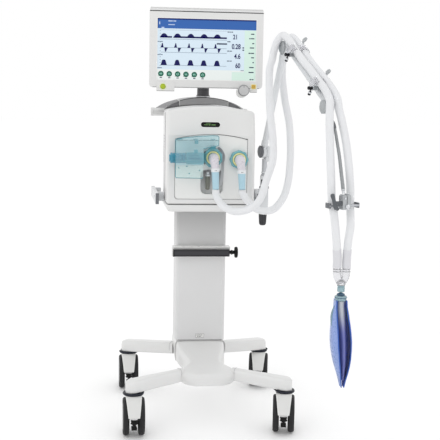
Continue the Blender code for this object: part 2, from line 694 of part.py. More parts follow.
# ------------------------------------------------------------------ monitor
def bezel(swivel_point):
    outer = rounded_rectangle(-MONITOR_HALF_WIDTH, MONITOR_HALF_WIDTH, MONITOR_BOTTOM,
                              MONITOR_TOP, 0.012)
    slack = 0.0005
    x0, x1, z0, z1 = SCREEN[0] - slack, SCREEN[1] + slack, SCREEN[2] - slack, SCREEN[3] + slack
    inner = [(x0, z0), (x1, z0), (x1, z1), (x0, z1)]
    frame = plate("monitor_bezel", [outer, inner], BEZEL_DEPTH, CASING,
                  Vector((0, BEZEL_DEPTH / 2, 0)) - swivel_point, FRONT_VIEW, tilt)
    bevel(frame, 0.003, 2, 50)

    def pod(label, low, high):
        return box(label, Vector(low) - swivel_point, Vector(high) - swivel_point,
                   parent=tilt, into=cutters)

    join(frame, pod("power_pod", (POWER[0] - 0.022, -0.0020, POD_BOTTOM),
                    (POWER[0] + 0.040, 0.0140, 1.1580)))
    join(frame, pod("pause_pod", (PAUSE[0] - 0.0120, -0.0020, POD_BOTTOM),
                    (PAUSE[0] + 0.0126, 0.0140, 1.1620)))
    dial_base = rod("dial_base", DIAL_RADIUS - 0.0013, -0.0125, 0.0015, None,
                    Vector((DIAL_BASE[0], 0, DIAL_BASE[1])) - swivel_point, ALONG_FRONT, tilt,
                    into=cutters)
    join(frame, dial_base)
    cut(frame, rod("power_pocket", 0.0095, -0.0050, 0.01, None,
                   Vector((POWER[0], 0, POWER[1])) - swivel_point, ALONG_FRONT, tilt,
                   into=cutters))
    cut(frame, box("pause_pocket", Vector((PAUSE[0] - 0.0075, -0.01, PAUSE[1] - 0.0075))
                   - swivel_point, Vector((PAUSE[0] + 0.0075, 0.0050, PAUSE[1] + 0.0075))
                   - swivel_point, parent=tilt, into=cutters))
    return frame


def monitor(swivel_point):
    bezel(swivel_point)
    box("monitor_screen", Vector((SCREEN[0], 0.0030, SCREEN[2])) - swivel_point,
        Vector((SCREEN[1], 0.0070, SCREEN[3])) - swivel_point, SCREEN_BLUE, parent=tilt)

    back = box("monitor_back", Vector((-0.194, BEZEL_DEPTH + GAP, MONITOR_BOTTOM + 0.003))
               - swivel_point, Vector((0.194, MONITOR_DEPTH, MONITOR_TOP - 0.003))
               - swivel_point, CASING, 0.012, tilt)
    for side in (-1, 1):
        x = side * 0.040
        lug = box(f"tilt_lug_{side}", (x - 0.006, MONITOR_DEPTH - 0.002 - NECK_Y, -0.018),
                  (x + 0.006, 0.018, 0.018), None, 0.004, tilt, into=cutters)
        join(back, lug)

    dial = [(0, 0.0200), (0.0180, 0.0200), (DIAL_RADIUS, 0.0175), (DIAL_RADIUS, 0.0015),
            (0.0190, 0), (0, 0)]
    turned("dial_knob", dial, LACQUER, Vector((DIAL[0], -0.0020 - GAP, DIAL[1])) - swivel_point,
           ALONG_FRONT, tilt)
    button = [(0, 0.0075), (0.0075, 0.0075), (0.0090, 0.0062), (0.0090, 0), (0, 0)]
    turned("power_button", button, LIME, Vector((POWER[0], 0.0020, POWER[1])) - swivel_point,
           ALONG_FRONT, tilt, 20)
    box("pause_button", Vector((PAUSE[0] - 0.0070, -0.0055, PAUSE[1] - 0.0070)) - swivel_point,
        Vector((PAUSE[0] + 0.0070, 0.0020, PAUSE[1] + 0.0070)) - swivel_point, YELLOW, 0.001, tilt)


def monitor_neck():
    base = COVER_APEX + 0.0006 - TILT_Z
    profile = [(0, -0.004), (0.0210, -0.004), (0.0210, base + 0.008), (0.0270, base + 0.005),
               (0.0270, base), (0, base)]
    neck = turned("monitor_neck", profile, COVER_GREY, parent=swivel)
    return join(neck, rod("tilt_barrel", 0.0165, -0.0335, 0.0335, rotation=ALONG_X,
                          parent=swivel, into=cutters))


# ----------------------------------------------------------------- hose arm
ARM_FORWARD = Vector((math.sin(ARM_AZIMUTH), -math.cos(ARM_AZIMUTH), 0))
ARM_SIDE = Vector((-math.cos(ARM_AZIMUTH), -math.sin(ARM_AZIMUTH), 0))
ELBOW_JOINT = (LOWER_LINK * math.sin(LOWER_LEAN),
               ARM_BASE.z + LOWER_LINK * math.cos(LOWER_LEAN))
WRIST_JOINT = (ELBOW_JOINT[0] + UPPER_LINK * math.cos(UPPER_DROP),
               ELBOW_JOINT[1] - UPPER_LINK * math.sin(UPPER_DROP))


def arm_point(reach, height, side=0.0):
    """A place given by reach along the arm's plane, height, and offset to the arm's side."""
    base = Vector((ARM_BASE.x, ARM_BASE.y, 0))
    return base + ARM_FORWARD * reach + ARM_SIDE * side + Vector((0, 0, height))


def joint_barrel(name, joint, low, high, mat=None, into=None):
    """A disc about the hinge line at a joint of the arm, between two side offsets."""
    facing = ARM_SIDE.to_track_quat("Z", "Y").to_euler()
    return rod(name, BARREL_RADIUS, low, high, mat, arm_point(*joint), facing, steps=20,
               into=into)


def link(name, start, end, side):
    """A straight link: a disc at each end, flat necks and a round tube between them."""
    centre = side * BARREL_WIDTH / 2
    low, high = sorted((side * 0.0003, side * BARREL_WIDTH))
    body = joint_barrel(name, start, low, high, ARM_GREY)
    join(body, joint_barrel(name + "_far_disc", end, low, high, into=cutters))
    a, b = Vector(start), Vector(end)
    step = (b - a).normalized()
    first, last = a + step * 0.024, b - step * 0.024
    for label, one, two in (("near", a + step * 0.010, first + step * 0.010),
                            ("far", last - step * 0.010, b - step * 0.010)):
        mid = (one + two) / 2
        neck = box(f"{name}_{label}_neck", (-0.5 * (two - one).length, -0.0055, -0.010),
                   (0.5 * (two - one).length, 0.0055, 0.010), into=cutters)
        neck.rotation_mode = "QUATERNION"
        along = ARM_FORWARD * step.x + Vector((0, 0, step.y))
        up = ARM_SIDE.cross(along)
        neck.rotation_quaternion = Matrix((along, ARM_SIDE, up)).transposed().to_quaternion()
        neck.location = arm_point(*mid, centre)
        join(body, neck)
    join(body, tube(name + "_tube", [arm_point(*first, centre), arm_point(*last, centre)],
                    LINK_RADIUS, into=cutters, resolution=3))
    return body


def clamp():
    """C-shaped rail clamp with the socket that the arm's post turns in."""
    inner, outer = RAIL_OUTER_X - 0.0155, 0.2065
    low, high = 0.738, 0.798
    x0, x1 = RAIL_OUTER_X - 0.0107, RAIL_OUTER_X + GAP
    outline = [(inner, low), (outer, low), (outer, high), (inner, high), (inner, 0.772),
               (x0, 0.772), (x0, RAIL_TOP + GAP), (x1, RAIL_TOP + GAP), (x1, RAIL_BOTTOM - GAP),
               (x0, RAIL_BOTTOM - GAP), (x0, 0.760), (inner, 0.760)]
    body = plate("arm_clamp", [outline], 0.044, ARM_GREY, (0, ARM_BASE.y, 0), FRONT_VIEW)
    post_x = ARM_BASE.x
    join(body, box("socket", (post_x - 0.0125, ARM_BASE.y - 0.0125, 0.790),
                   (post_x + 0.0125, ARM_BASE.y + 0.0125, 0.846), into=cutters))
    return cut(body, rod("socket_bore", 0.0082, 0.805, 0.850, None,
                         (post_x, ARM_BASE.y, 0), steps=16, into=cutters))


def hose_arm():
    clamp()
    grip = [(0, 0.0640), (0.0040, 0.0640), (0.0040, 0.0460), (0.0100, 0.0455), (0.0100, 0.0395),
            (0.0140, 0.0385), (0.0125, 0.0070), (0.0095, 0.0015), (0, 0)]
    turned("clamp_knob", grip, DARK, (CLAMP_X, ARM_BASE.y, 0.6735), steps=20)

    post = joint_barrel("arm_post", (0, ARM_BASE.z), -BARREL_WIDTH, -0.0003, ARM_GREY)
    join(post, rod("post_shaft", 0.0078, 0.8055, ARM_BASE.z - 0.0235, None,
                   (ARM_BASE.x, ARM_BASE.y, 0), steps=16, into=cutters))
    shoulder = arm_point(0, ARM_BASE.z - 0.030, -BARREL_WIDTH / 2)
    shoulder_box = box("post_shoulder", (-0.0140, -0.010, -0.006), (0.0140, 0.010, 0.006),
                       rotation=(0, 0, ARM_AZIMUTH), into=cutters)
    shoulder_box.location = shoulder + ARM_SIDE * 0.0040
    neck = box("post_neck", (-0.0055, -0.010, -0.030), (0.0055, 0.010, 0.0),
               rotation=(0, 0, ARM_AZIMUTH), into=cutters)
    neck.location = arm_point(0, ARM_BASE.z - 0.0150, -BARREL_WIDTH / 2)
    join(post, shoulder_box, neck)

    link("lower_arm", (0, ARM_BASE.z), ELBOW_JOINT, 1)
    link("upper_arm", ELBOW_JOINT, WRIST_JOINT, -1)

    reach, height = WRIST_JOINT
    end = joint_barrel("end_arm", WRIST_JOINT, 0.0003, BARREL_WIDTH, ARM_GREY)
    path = [(reach, height, 0.0066), (reach + 0.030, height - 0.030, 0.0066),
            (0.511, 1.020, 0.0045), (0.5195, 0.966, 0.0020), (0.540, 0.937, 0), (0.552, 0.909, 0),
            (0.558, 0.880, 0), (0.5625, 0.858, 0), (0.5660, 0.850, 0), (0.5670, 0.8430, 0)]
    join(end, tube("gooseneck", smooth_path([arm_point(*p) for p in path], 3), 0.0060,
                   into=cutters))


def holder():
    """Clamp block at the gooseneck's end, with the rod that carries both hoses and its lever."""
    turn = (0, 0, ARM_AZIMUTH)
    reach, height = 0.577, 0.8175
    block = box("hose_holder", (-0.014, -0.014, -0.0230), (0.014, 0.014, 0.0230), STEEL, 0.002,
                rotation=turn)
    block.location = arm_point(reach, height)
    join(block, tube("holder_rod", [arm_point(0.5685, 0.805, 0.0480),
                                    arm_point(0.5685, 0.805, -0.0530)], 0.0045, into=cutters))
    for label, side in (("left", 0.0440), ("right", -0.0500)):
        pad = box(f"{label}_pad", (-0.0020, -0.014, -0.0070), (0.0020, 0.014, 0.0070),
                  rotation=turn, into=cutters)
        pad.location = arm_point(0.5565, 0.805, side)
        join(block, pad)
    join(block, tube("lever_stem", [arm_point(0.581, 0.815, 0.010),
                                    arm_point(0.581, 0.815, 0.0360)], 0.0050, into=cutters))
    join(block, tube("lever_wing", [arm_point(0.581, 0.798, 0.0320),
                                    arm_point(0.581, 0.839, 0.0450)], 0.0060, into=cutters))


# ------------------------------------------------------- hoses and test lung
def hoses():
    """Both limbs of the breathing circuit, from the sleeves over the arm to the Y-piece."""
    start_y = UNIT_FRONT - 0.0505
    exp_x, insp_x = EXP_PORT[0] + 0.007, INSP_PORT[0] + 0.007
    low = SLEEVE_END_Z - 0.0015
    expiratory = [(exp_x, start_y, low), (exp_x, start_y - 0.001, low - 0.010),
                  (exp_x + 0.004, start_y - 0.017, 0.784),
                  (0.033, -0.300, 0.760), (0.068, -0.335, 0.749), (0.109, -0.362, 0.762),
                  (0.138, -0.378, 0.795), (0.155, -0.388, 0.856), (0.174, -0.385, 0.919),
                  (0.179, -0.352, 0.980), (0.177, -0.305, 1.058), (0.177, -0.272, 1.137),
                  (0.179, -0.255, 1.201)]
    expiratory += [arm_point(*place) for place in (
        (0.145, 1.2335, 0.0470), (0.142, 1.2625, 0.0400), (0.147, 1.2930, 0.0315),
        (0.163, 1.3120, 0.0190), (0.193, 1.2940, 0.0090), (0.231, 1.2640, 0.0060),
        (0.283, 1.2320, 0.0060), (0.341, 1.2010, 0.0060), (0.393, 1.1700, 0.0060),
        (0.444, 1.1410, 0.0070), (0.486, 1.1110, 0.0130), (0.500, 1.0820, 0.0190),
        (0.508, 1.0530, 0.0225), (0.515, 1.0240, 0.0250), (0.522, 0.9650, 0.0250),
        (0.540, 0.8780, 0.0280), (0.546, 0.8200, 0.0275))]
    expiratory += [(0.3170, -0.640, 0.776), (0.3260, -0.636, 0.716),
                   (Y_PIECE.x - Y_HALF_SPAN - 0.0005, -0.6205, 0.645),
                   (Y_PIECE.x - Y_HALF_SPAN, Y_PIECE.y, Y_TOP + 0.0014)]
    inspiratory = [(insp_x, start_y, low), (insp_x + 0.001, start_y, low - 0.010),
                   (0.110, -0.255, 0.783), (0.130, -0.262, 0.759), (0.152, -0.266, 0.746),
                   (0.179, -0.266, 0.743), (0.204, -0.258, 0.749), (0.225, -0.248, 0.768),
                   (0.243, -0.236, 0.796), (0.256, -0.225, 0.842), (0.262, -0.212, 0.891),
                   (0.266, -0.195, 0.940), (0.266, -0.180, 0.989), (0.263, -0.165, 1.038),
                   (0.251, -0.150, 1.104)]
    inspiratory += [arm_point(*place) for place in (
        (0.051, 1.1700, -0.0360), (0.050, 1.2040, -0.0350), (0.058, 1.2535, -0.0330),
        (0.081, 1.2890, -0.0300), (0.127, 1.3090, -0.0275), (0.175, 1.2930, -0.0250),
        (0.225, 1.2670, -0.0205), (0.278, 1.2330, -0.0200), (0.335, 1.2010, -0.0200),
        (0.391, 1.1710, -0.0200), (0.443, 1.1410, -0.0190), (0.481, 1.1130, -0.0160),
        (0.4900, 1.0830, -0.0175), (0.505, 1.0530, -0.0190), (0.522, 1.0090, -0.0220),
        (0.534, 0.9660, -0.0250), (0.545, 0.9080, -0.0280), (0.546, 0.8480, -0.0335),
        (0.546, 0.8040, -0.0345))]
    inspiratory += [(0.3690, -0.635, 0.745), (0.3645, -0.632, 0.700),
                    (Y_PIECE.x + Y_HALF_SPAN, -0.6205, 0.645),
                    (Y_PIECE.x + Y_HALF_SPAN, Y_PIECE.y, Y_TOP + 0.0014)]
    for name, path in (("hose_expiratory", expiratory), ("hose_inspiratory", inspiratory)):
        add_tube_smooth(name, smooth_path(path, 2), HOSE_RADIUS, HOSE_WHITE, resolution=1)


def y_piece():
    x, y = Y_PIECE.x, Y_PIECE.y
    stem = rod("y_piece", 0.0108, LUNG_TOP + 0.0025, 0.5800, HOSE_WHITE, (x, y, 0))
    for side in (-1, 1):
        limb = [(x + side * Y_HALF_SPAN, y, Y_TOP), (x + side * Y_HALF_SPAN, y, 0.597),
                (x + side * 0.0105, y, 0.583), (x + side * 0.0030, y, 0.568)]
        join(stem, tube(f"y_limb_{side}", limb, 0.0112, into=cutters, resolution=3))


def test_lung():
    """Silicone bag hanging from the Y-piece, flat-sided: deep front to back, thin across.

    Its collar is chamfered so that it clears the Y-piece as it swings.
    """
    height = LUNG_TOP - LUNG_BOTTOM
    profile = [(0, height), (0.0050, height), (0.0120, height - 0.0045),
               (0.0120, height - 0.008), (0.0180, height - 0.010),
               (0.0180, height - 0.022), (0.0230, height - 0.032), (0.0400, height - 0.066),
               (0.0520, height - 0.105), (LUNG_HALF_DEPTH, height - 0.155),
               (0.0510, height - 0.210), (0.0420, height - 0.254), (0.0260, height - 0.282),
               (0, 0)]
    made = turned("test_lung_bag", profile, BAG_BLUE, steps=24)
    bag = meshed_with_modifiers(made)
    for vert in bag.data.vertices:
        share = min(1.0, max(0.0, (height - 0.022 - vert.co.z) / 0.045))
        vert.co.x *= 1.0 - share * 0.48
    bag.location = (Y_PIECE.x, Y_PIECE.y, LUNG_BOTTOM)
    return bag


def meshed_with_modifiers(obj):
    """Swap an object for the mesh its modifiers make."""
    graph = bpy.context.evaluated_depsgraph_get()
    mesh = bpy.data.meshes.new_from_object(obj.evaluated_get(graph))
    obj.modifiers.clear()
    obj.data = mesh
    return obj


for fore, fore_y in (("front", PIVOT_FRONT_Y), ("rear", PIVOT_REAR_Y)):
    caster(f"caster_{fore}_left", -PIVOT_X, fore_y, 0)
    caster(f"caster_{fore}_right", PIVOT_X, fore_y, RIGHT_CASTER_TURN)
trolley()
tray()
side_rail("side_rail_left", -1)
side_rail("side_rail_right", 1)
push_handle()
unit()
port_fittings()
swivel = pivot("monitor_swivel", (0, NECK_Y, TILT_Z))
tilt = pivot("monitor_tilt", (0, 0, 0), parent=swivel)
monitor_neck()
monitor(Vector((0, NECK_Y, TILT_Z)))
hose_arm()
holder()
hoses()
y_piece()
test_lung()
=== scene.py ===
"""Looks of the intensive-care ventilator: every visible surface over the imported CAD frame.

Lengths are metres in the row frame. Places are given from the middle of the four casters
with at(x, y, z), along the hose arm with arm_point(), or from the CAD nodes' own boxes.
"""
import json
import math

import bmesh
import bpy
import numpy as np
from mathutils import Matrix, Vector


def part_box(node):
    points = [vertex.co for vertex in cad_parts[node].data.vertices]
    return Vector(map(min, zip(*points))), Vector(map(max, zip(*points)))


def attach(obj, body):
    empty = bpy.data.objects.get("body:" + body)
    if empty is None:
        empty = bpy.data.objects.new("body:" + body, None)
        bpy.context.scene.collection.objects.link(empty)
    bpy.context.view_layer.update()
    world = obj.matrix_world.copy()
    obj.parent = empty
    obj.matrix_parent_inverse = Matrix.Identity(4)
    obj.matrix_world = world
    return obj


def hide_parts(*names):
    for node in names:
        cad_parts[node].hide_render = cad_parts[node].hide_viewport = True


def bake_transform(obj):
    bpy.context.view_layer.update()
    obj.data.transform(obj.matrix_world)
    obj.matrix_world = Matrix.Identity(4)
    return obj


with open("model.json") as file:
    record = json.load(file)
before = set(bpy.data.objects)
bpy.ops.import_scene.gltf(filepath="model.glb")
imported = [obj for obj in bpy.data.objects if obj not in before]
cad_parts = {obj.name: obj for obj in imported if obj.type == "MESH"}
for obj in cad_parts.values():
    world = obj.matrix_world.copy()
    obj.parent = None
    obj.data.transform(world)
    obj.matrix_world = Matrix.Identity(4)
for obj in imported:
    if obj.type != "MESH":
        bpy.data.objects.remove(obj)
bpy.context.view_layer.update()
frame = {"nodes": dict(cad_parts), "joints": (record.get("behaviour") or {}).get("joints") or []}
NODES = frame["nodes"]
JOINTS = {joint["name"]: joint for joint in frame["joints"]}

X, Y, Z = Vector((1, 0, 0)), Vector((0, 1, 0)), Vector((0, 0, 1))
FRONT = Vector((0, -1, 0))
CASTER_NAMES = [f"caster_{fore}_{hand}" for fore in ("front", "rear") for hand in ("left", "right")]


def joint_place(name):
    return Vector(JOINTS[name]["pos_m"])


SWIVELS = {name: joint_place(name + "_swivel") for name in CASTER_NAMES}
MIDDLE_Y_OFFSET = 0.014       # the four swivels' mean is this far behind the trolley's middle
mean = sum(SWIVELS.values(), Vector()) / 4
MIDDLE = Vector((mean.x, mean.y - MIDDLE_Y_OFFSET, 0))


def at(x, y, z):
    """A place measured from the floor point between the casters."""
    return MIDDLE + Vector((x, y, z))


# ---------------------------------------------------------------- materials
def srgb(red, green, blue):
    """Linear colour from display values of 0 to 255."""
    def linear(value):
        share = value / 255
        return share / 12.92 if share <= 0.04045 else ((share + 0.055) / 1.055) ** 2.4
    return (linear(red), linear(green), linear(blue))


LIGHT_LEVEL = 1.10            # light on an open surface, as a multiple of the world's


def scaled(color, factor):
    return tuple(min(1.0, channel * factor) for channel in color)


def underlit(color):
    """Albedo that shows as the given colour under the studio's light and surface gloss."""
    return tuple(max(0.003, (channel - 0.025) / LIGHT_LEVEL) for channel in color)


def material(name, color, rough=0.4, metal=0.0, grain=0.15, grain_scale=900.0, mottle=0.02,
             mottle_scale=9.0, rough_spread=0.05, fade=None, **sockets):
    """A surface with soft colour clouds, fine grain and uneven gloss.

    fade is (low z, high z, colour at the high end). Further names are shader sockets.
    """
    if sockets.get("Transmission_Weight", 0) < 0.5:
        color = underlit(color)
    if fade:
        fade = (*fade[:2], underlit(fade[2]))
    made = bpy.data.materials.new(name)
    made.use_nodes = True
    tree = made.node_tree
    shader = tree.nodes["Principled BSDF"]
    shader.inputs["Metallic"].default_value = metal
    for socket, value in sockets.items():
        shader.inputs[socket.replace("_", " ")].default_value = value
    place = tree.nodes.new("ShaderNodeTexCoord").outputs["Object"]

    def noise(scale, detail):
        node = tree.nodes.new("ShaderNodeTexNoise")
        node.inputs["Scale"].default_value = scale
        node.inputs["Detail"].default_value = detail
        tree.links.new(place, node.inputs["Vector"])
        return node.outputs["Fac"]

    def mix(factor, first, second):
        node = tree.nodes.new("ShaderNodeMix")
        node.data_type = "RGBA"
        tree.links.new(factor, node.inputs["Factor"])
        for index, value in ((6, first), (7, second)):
            if isinstance(value, tuple):
                node.inputs[index].default_value = (*value[:3], 1)
            else:
                tree.links.new(value, node.inputs[index])
        return node.outputs[2]

    clouds = noise(mottle_scale, 4)
    tint = mix(clouds, scaled(color, 1 - mottle), scaled(color, 1 + mottle))
    if fade:
        low, high, far_color = fade
        split = tree.nodes.new("ShaderNodeSeparateXYZ")
        tree.links.new(place, split.inputs[0])
        ramp = tree.nodes.new("ShaderNodeMapRange")
        ramp.interpolation_type = "SMOOTHSTEP"
        ramp.inputs["From Min"].default_value = low
        ramp.inputs["From Max"].default_value = high
        tree.links.new(split.outputs["Z"], ramp.inputs["Value"])
        tint = mix(ramp.outputs["Result"], tint, far_color)
    tree.links.new(tint, shader.inputs["Base Color"])

    gloss = tree.nodes.new("ShaderNodeMapRange")
    gloss.inputs["To Min"].default_value = max(0.0, rough - rough_spread)
    gloss.inputs["To Max"].default_value = min(1.0, rough + rough_spread)
    tree.links.new(noise(mottle_scale * 6, 5), gloss.inputs["Value"])
    tree.links.new(gloss.outputs["Result"], shader.inputs["Roughness"])

    bump = tree.nodes.new("ShaderNodeBump")
    bump.inputs["Strength"].default_value = grain
    bump.inputs["Distance"].default_value = 0.0003
    tree.links.new(noise(grain_scale, 3), bump.inputs["Height"])
    tree.links.new(bump.outputs["Normal"], shader.inputs["Normal"])
    return made


WHITE = material("casing_white", srgb(232, 232, 231), 0.33, grain=0.10, Coat_Weight=0.15)
WHITE_BACK = material("casing_white_rear", srgb(228, 228, 228), 0.40, grain=0.25)
PANEL = material("panel_white", srgb(240, 240, 238), 0.36, grain=0.12)
# Painted shade: the column's colour darkens towards its top, from z 0.50 to 0.735, where the tray
# and unit shade it.
COLUMN_LACQUER_SHADED = material("lacquered_column_painted_shade", srgb(226, 226, 226), 0.42, grain=0.20,
                   fade=(0.50, 0.735, srgb(184, 184, 184)))
BASE_WHITE = material("lacquered_base", srgb(233, 233, 232), 0.30, grain=0.12, Coat_Weight=0.2)
SEAM = material("seam_shadow", srgb(120, 120, 122), 0.7, mottle=0.05)
SEAM_SOFT = material("seam_soft", srgb(184, 184, 185), 0.6, mottle=0.05)
SEAM_DARK = material("seam_dark", srgb(62, 62, 64), 0.7, mottle=0.05, Specular_IOR_Level=0.2)
COVER = material("cover_grey", srgb(174, 174, 175), 0.45, grain=0.35, grain_scale=1400)
COVER_WING = material("cover_wing", srgb(128, 128, 130), 0.45, grain=0.35, grain_scale=1400)
NECK = material("neck_grey", srgb(108, 108, 110), 0.42, grain=0.3, Specular_IOR_Level=0.2)
DARK = material("dark_plastic", srgb(48, 48, 51), 0.5, grain=0.4, grain_scale=1600,
                Specular_IOR_Level=0.2)
RAIL_DARK = material("rail_dark", srgb(74, 74, 77), 0.38, grain=0.3, mottle=0.06,
                     Specular_IOR_Level=0.3)
BLACK = material("black_plastic", srgb(20, 20, 21), 0.45, grain=0.4, Specular_IOR_Level=0.2)
RING_BLUE = material("caster_ring", srgb(52, 54, 61), 0.4, grain=0.3, Specular_IOR_Level=0.3)
TYRE = material("tyre_rubber", srgb(62, 62, 63), 0.62, grain=0.6, grain_scale=1800,
                mottle=0.08, Specular_IOR_Level=0.3)
HOUSING = material("caster_housing", srgb(228, 228, 226), 0.34, grain=0.10)
HOUSING_EDGE = material("caster_edge", srgb(246, 246, 244), 0.28, grain=0.05)
COVER_DISC = material("wheel_cover", srgb(214, 214, 213), 0.4, grain=0.2)
STEEL = material("bright_steel", srgb(196, 198, 202), 0.22, 0.95, grain=0.2, mottle=0.06)
CHROME = material("chrome", srgb(225, 227, 230), 0.08, 1.0, grain=0.05, mottle=0.02)
ZINC = material("zinc_grey", srgb(186, 189, 191), 0.34, 0.75, grain=0.4, mottle=0.08)
ARM = material("arm_lacquer", srgb(228, 230, 232), 0.34, 0.05, grain=0.15)
POST = material("post_grey", srgb(206, 208, 211), 0.36, 0.35, grain=0.2, mottle=0.05)
KNOB_GREY = material("knob_grey", srgb(120, 122, 126), 0.4, grain=0.3)
KNOB_PALE = material("knob_pale", srgb(196, 200, 202), 0.3, grain=0.15, Transmission_Weight=0.25)
LEVER = material("lever_grey", srgb(104, 107, 111), 0.42, grain=0.35, Specular_IOR_Level=0.3)
RIBBED = material("gooseneck_grey", srgb(168, 171, 173), 0.3, 0.8, grain=0.3, mottle=0.1)
TEAL = material("port_teal", srgb(132, 198, 208), 0.22, grain=0.08, mottle=0.05,
                Transmission_Weight=0.25, Coat_Weight=0.4)
TEAL_LUG = material("lug_teal", srgb(88, 164, 178), 0.25, grain=0.08, Coat_Weight=0.3)
GLOW = material("port_glow", srgb(230, 230, 170), 0.35, mottle=0.25, mottle_scale=60,
                Emission_Strength=0.15, Emission_Color=(0.75, 0.65, 0.25, 1))
SENSOR = material("sensor_teal", srgb(72, 170, 198), 0.18, grain=0.05, mottle=0.08,
                  Transmission_Weight=0.35, Coat_Weight=0.6)
SENSOR_BLOCK = material("sensor_block", srgb(128, 204, 218), 0.2, grain=0.05, mottle=0.05,
                        Transmission_Weight=0.3, Coat_Weight=0.5)
FLAP = material("flap_clear", srgb(220, 245, 250), 0.06, grain=0.02, mottle=0.02,
                Transmission_Weight=0.88, IOR=1.2, Coat_Weight=0.3)
FLAP_LOW = material("flap_low", srgb(232, 247, 246), 0.12, grain=0.03, mottle=0.03,
                    Transmission_Weight=0.75, IOR=1.2)
FLAP_EDGE = material("flap_edge", srgb(92, 172, 186), 0.15, grain=0.02, Transmission_Weight=0.4)
LILAC = material("elbow_white", srgb(236, 232, 239), 0.28, grain=0.05, mottle=0.02,
                 Transmission_Weight=0.15)
CUFF = material("cuff_white", srgb(238, 240, 242), 0.34, grain=0.1)
SLEEVE = material("sleeve_blue", srgb(190, 224, 238), 0.2, grain=0.05, mottle=0.04,
                  Transmission_Weight=0.08, IOR=1.3)
HOSE = material("hose_silicone", srgb(247, 248, 250), 0.34, grain=0.12, mottle=0.015,
                Transmission_Weight=0.10, IOR=1.25)
HOSE_CUFF = material("hose_cuff", srgb(238, 238, 242), 0.4, grain=0.15, Transmission_Weight=0.15)
CLEAR = material("clear_plastic", srgb(240, 240, 243), 0.05, grain=0.02, mottle=0.01,
                 Transmission_Weight=0.8, IOR=1.35)
CONNECTOR = material("connector_teal", srgb(168, 196, 204), 0.15, grain=0.03,
                     Transmission_Weight=0.5, IOR=1.3)
COLLAR = material("collar_blue", srgb(94, 122, 146), 0.25, grain=0.1, Transmission_Weight=0.2)
# Painted sheen: the left leaf's paler blue is sheen painted on the same blue plastic as the right
# leaf.
LEAF_SHEEN = material("leaf_painted_sheen", srgb(132, 158, 220), 0.28, grain=0.1, mottle=0.10,
                     mottle_scale=20, Coat_Weight=0.3)
LEAF_DEEP = material("leaf_deep", srgb(26, 80, 192), 0.5, grain=0.1, mottle=0.2,
                     mottle_scale=20, Specular_IOR_Level=0.15)
LEAF_EDGE = material("leaf_edge", srgb(58, 96, 182), 0.4, grain=0.1, mottle=0.1)
BAG = material("bag_silicone", srgb(122, 128, 190), 0.34, grain=0.1, mottle=0.12, mottle_scale=30,
               fade=(0.42, 0.49, srgb(196, 200, 208)))
LIME = material("button_lime", srgb(176, 196, 52), 0.35, grain=0.1)
HALO = material("button_halo", srgb(240, 246, 214), 0.4, grain=0.1)
YELLOW = material("button_yellow", srgb(232, 190, 86), 0.38, grain=0.1)
DIAL_GREY = material("dial_grey", srgb(206, 206, 206), 0.3, grain=0.1)
STRIP = material("alarm_strip", srgb(240, 240, 240), 0.25, grain=0.03, Transmission_Weight=0.1)
# Painted shade: the niche liner darkens towards its top, from z 0.800 to 0.868, under the recess's
# upper edge.
NICHE_WALL_SHADED = material("niche_wall_painted_shade", srgb(238, 238, 237), 0.45,
                      fade=(0.800, 0.868, srgb(176, 176, 178)))
# Painted shade: this arc stands for the recess's shaded side wall; its grey darkens further towards
# the top, from z 0.86 to 0.93.
VALVE_WALL_SHADE = material("valve_wall_painted_shade", srgb(186, 187, 189), 0.45,
                    fade=(0.86, 0.93, srgb(150, 152, 156)))
TRAP = material("trap_olive", srgb(152, 153, 143), 0.2, grain=0.05, Transmission_Weight=0.35)
VENT = material("vent_dark", srgb(40, 40, 42), 0.6, Specular_IOR_Level=0.2)
BRASS = material("gas_inlet", srgb(190, 170, 110), 0.3, 0.9)


def glass_layer(name, color):
    """A colour of the lit screen: glossy, and half its light its own."""
    return material(name, scaled(color, 0.5), 0.16, grain=0.0, mottle=0.01, rough_spread=0.02,
                    Emission_Color=(*color, 1), Emission_Strength=0.5, Specular_IOR_Level=0.2)


SCREEN_SKY = glass_layer("screen_sky", srgb(224, 240, 252))
SCREEN_BAR = glass_layer("screen_bar", srgb(72, 112, 182))
SCREEN_BAR_EDGE = glass_layer("screen_bar_edge", srgb(34, 58, 122))
SCREEN_MINT = glass_layer("screen_mint", srgb(222, 245, 234))
SCREEN_PALE = glass_layer("screen_pale", srgb(242, 248, 246))
SCREEN_NAVY = glass_layer("screen_navy", srgb(12, 14, 96))
SCREEN_GREY = glass_layer("screen_grey", srgb(128, 142, 158))
SCREEN_MARK = glass_layer("screen_mark", srgb(62, 72, 94))
SCREEN_TEAL = glass_layer("screen_teal", srgb(0, 104, 84))
SCREEN_LIGHT = glass_layer("screen_light", srgb(170, 226, 208))
SCREEN_WHITE = glass_layer("screen_white", srgb(196, 212, 240))
PILL = material("pill_black", srgb(14, 15, 14), 0.12, grain=0.0, Specular_IOR_Level=0.2)
PILL_GREEN = glass_layer("pill_green", srgb(128, 170, 108))


# ----------------------------------------------------------- mesh helpers
def piece(name, bm, mat, body, angle=40, bevel=0.0, segments=2, slot=None, replaces=()):
    """Turn a bmesh into a shown piece that rides on a body."""
    bmesh.ops.remove_doubles(bm, verts=bm.verts, dist=2e-6)
    bmesh.ops.recalc_face_normals(bm, faces=bm.faces)
    mesh = bpy.data.meshes.new(name)
    bm.to_mesh(mesh)
    bm.free()
    mesh.materials.append(mat)
    mesh.shade_smooth()
    mesh.set_sharp_from_angle(angle=math.radians(angle))
    made = bpy.data.objects.new(name, mesh)
    bpy.context.scene.collection.objects.link(made)
    if bevel:
        rounding = made.modifiers.new("rounded_edges", "BEVEL")
        rounding.width = bevel
        rounding.segments = segments
        rounding.limit_method = "ANGLE"
        rounding.angle_limit = math.radians(35)
    if body:
        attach(made, body)
    if replaces:
        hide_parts(*replaces)
    return made


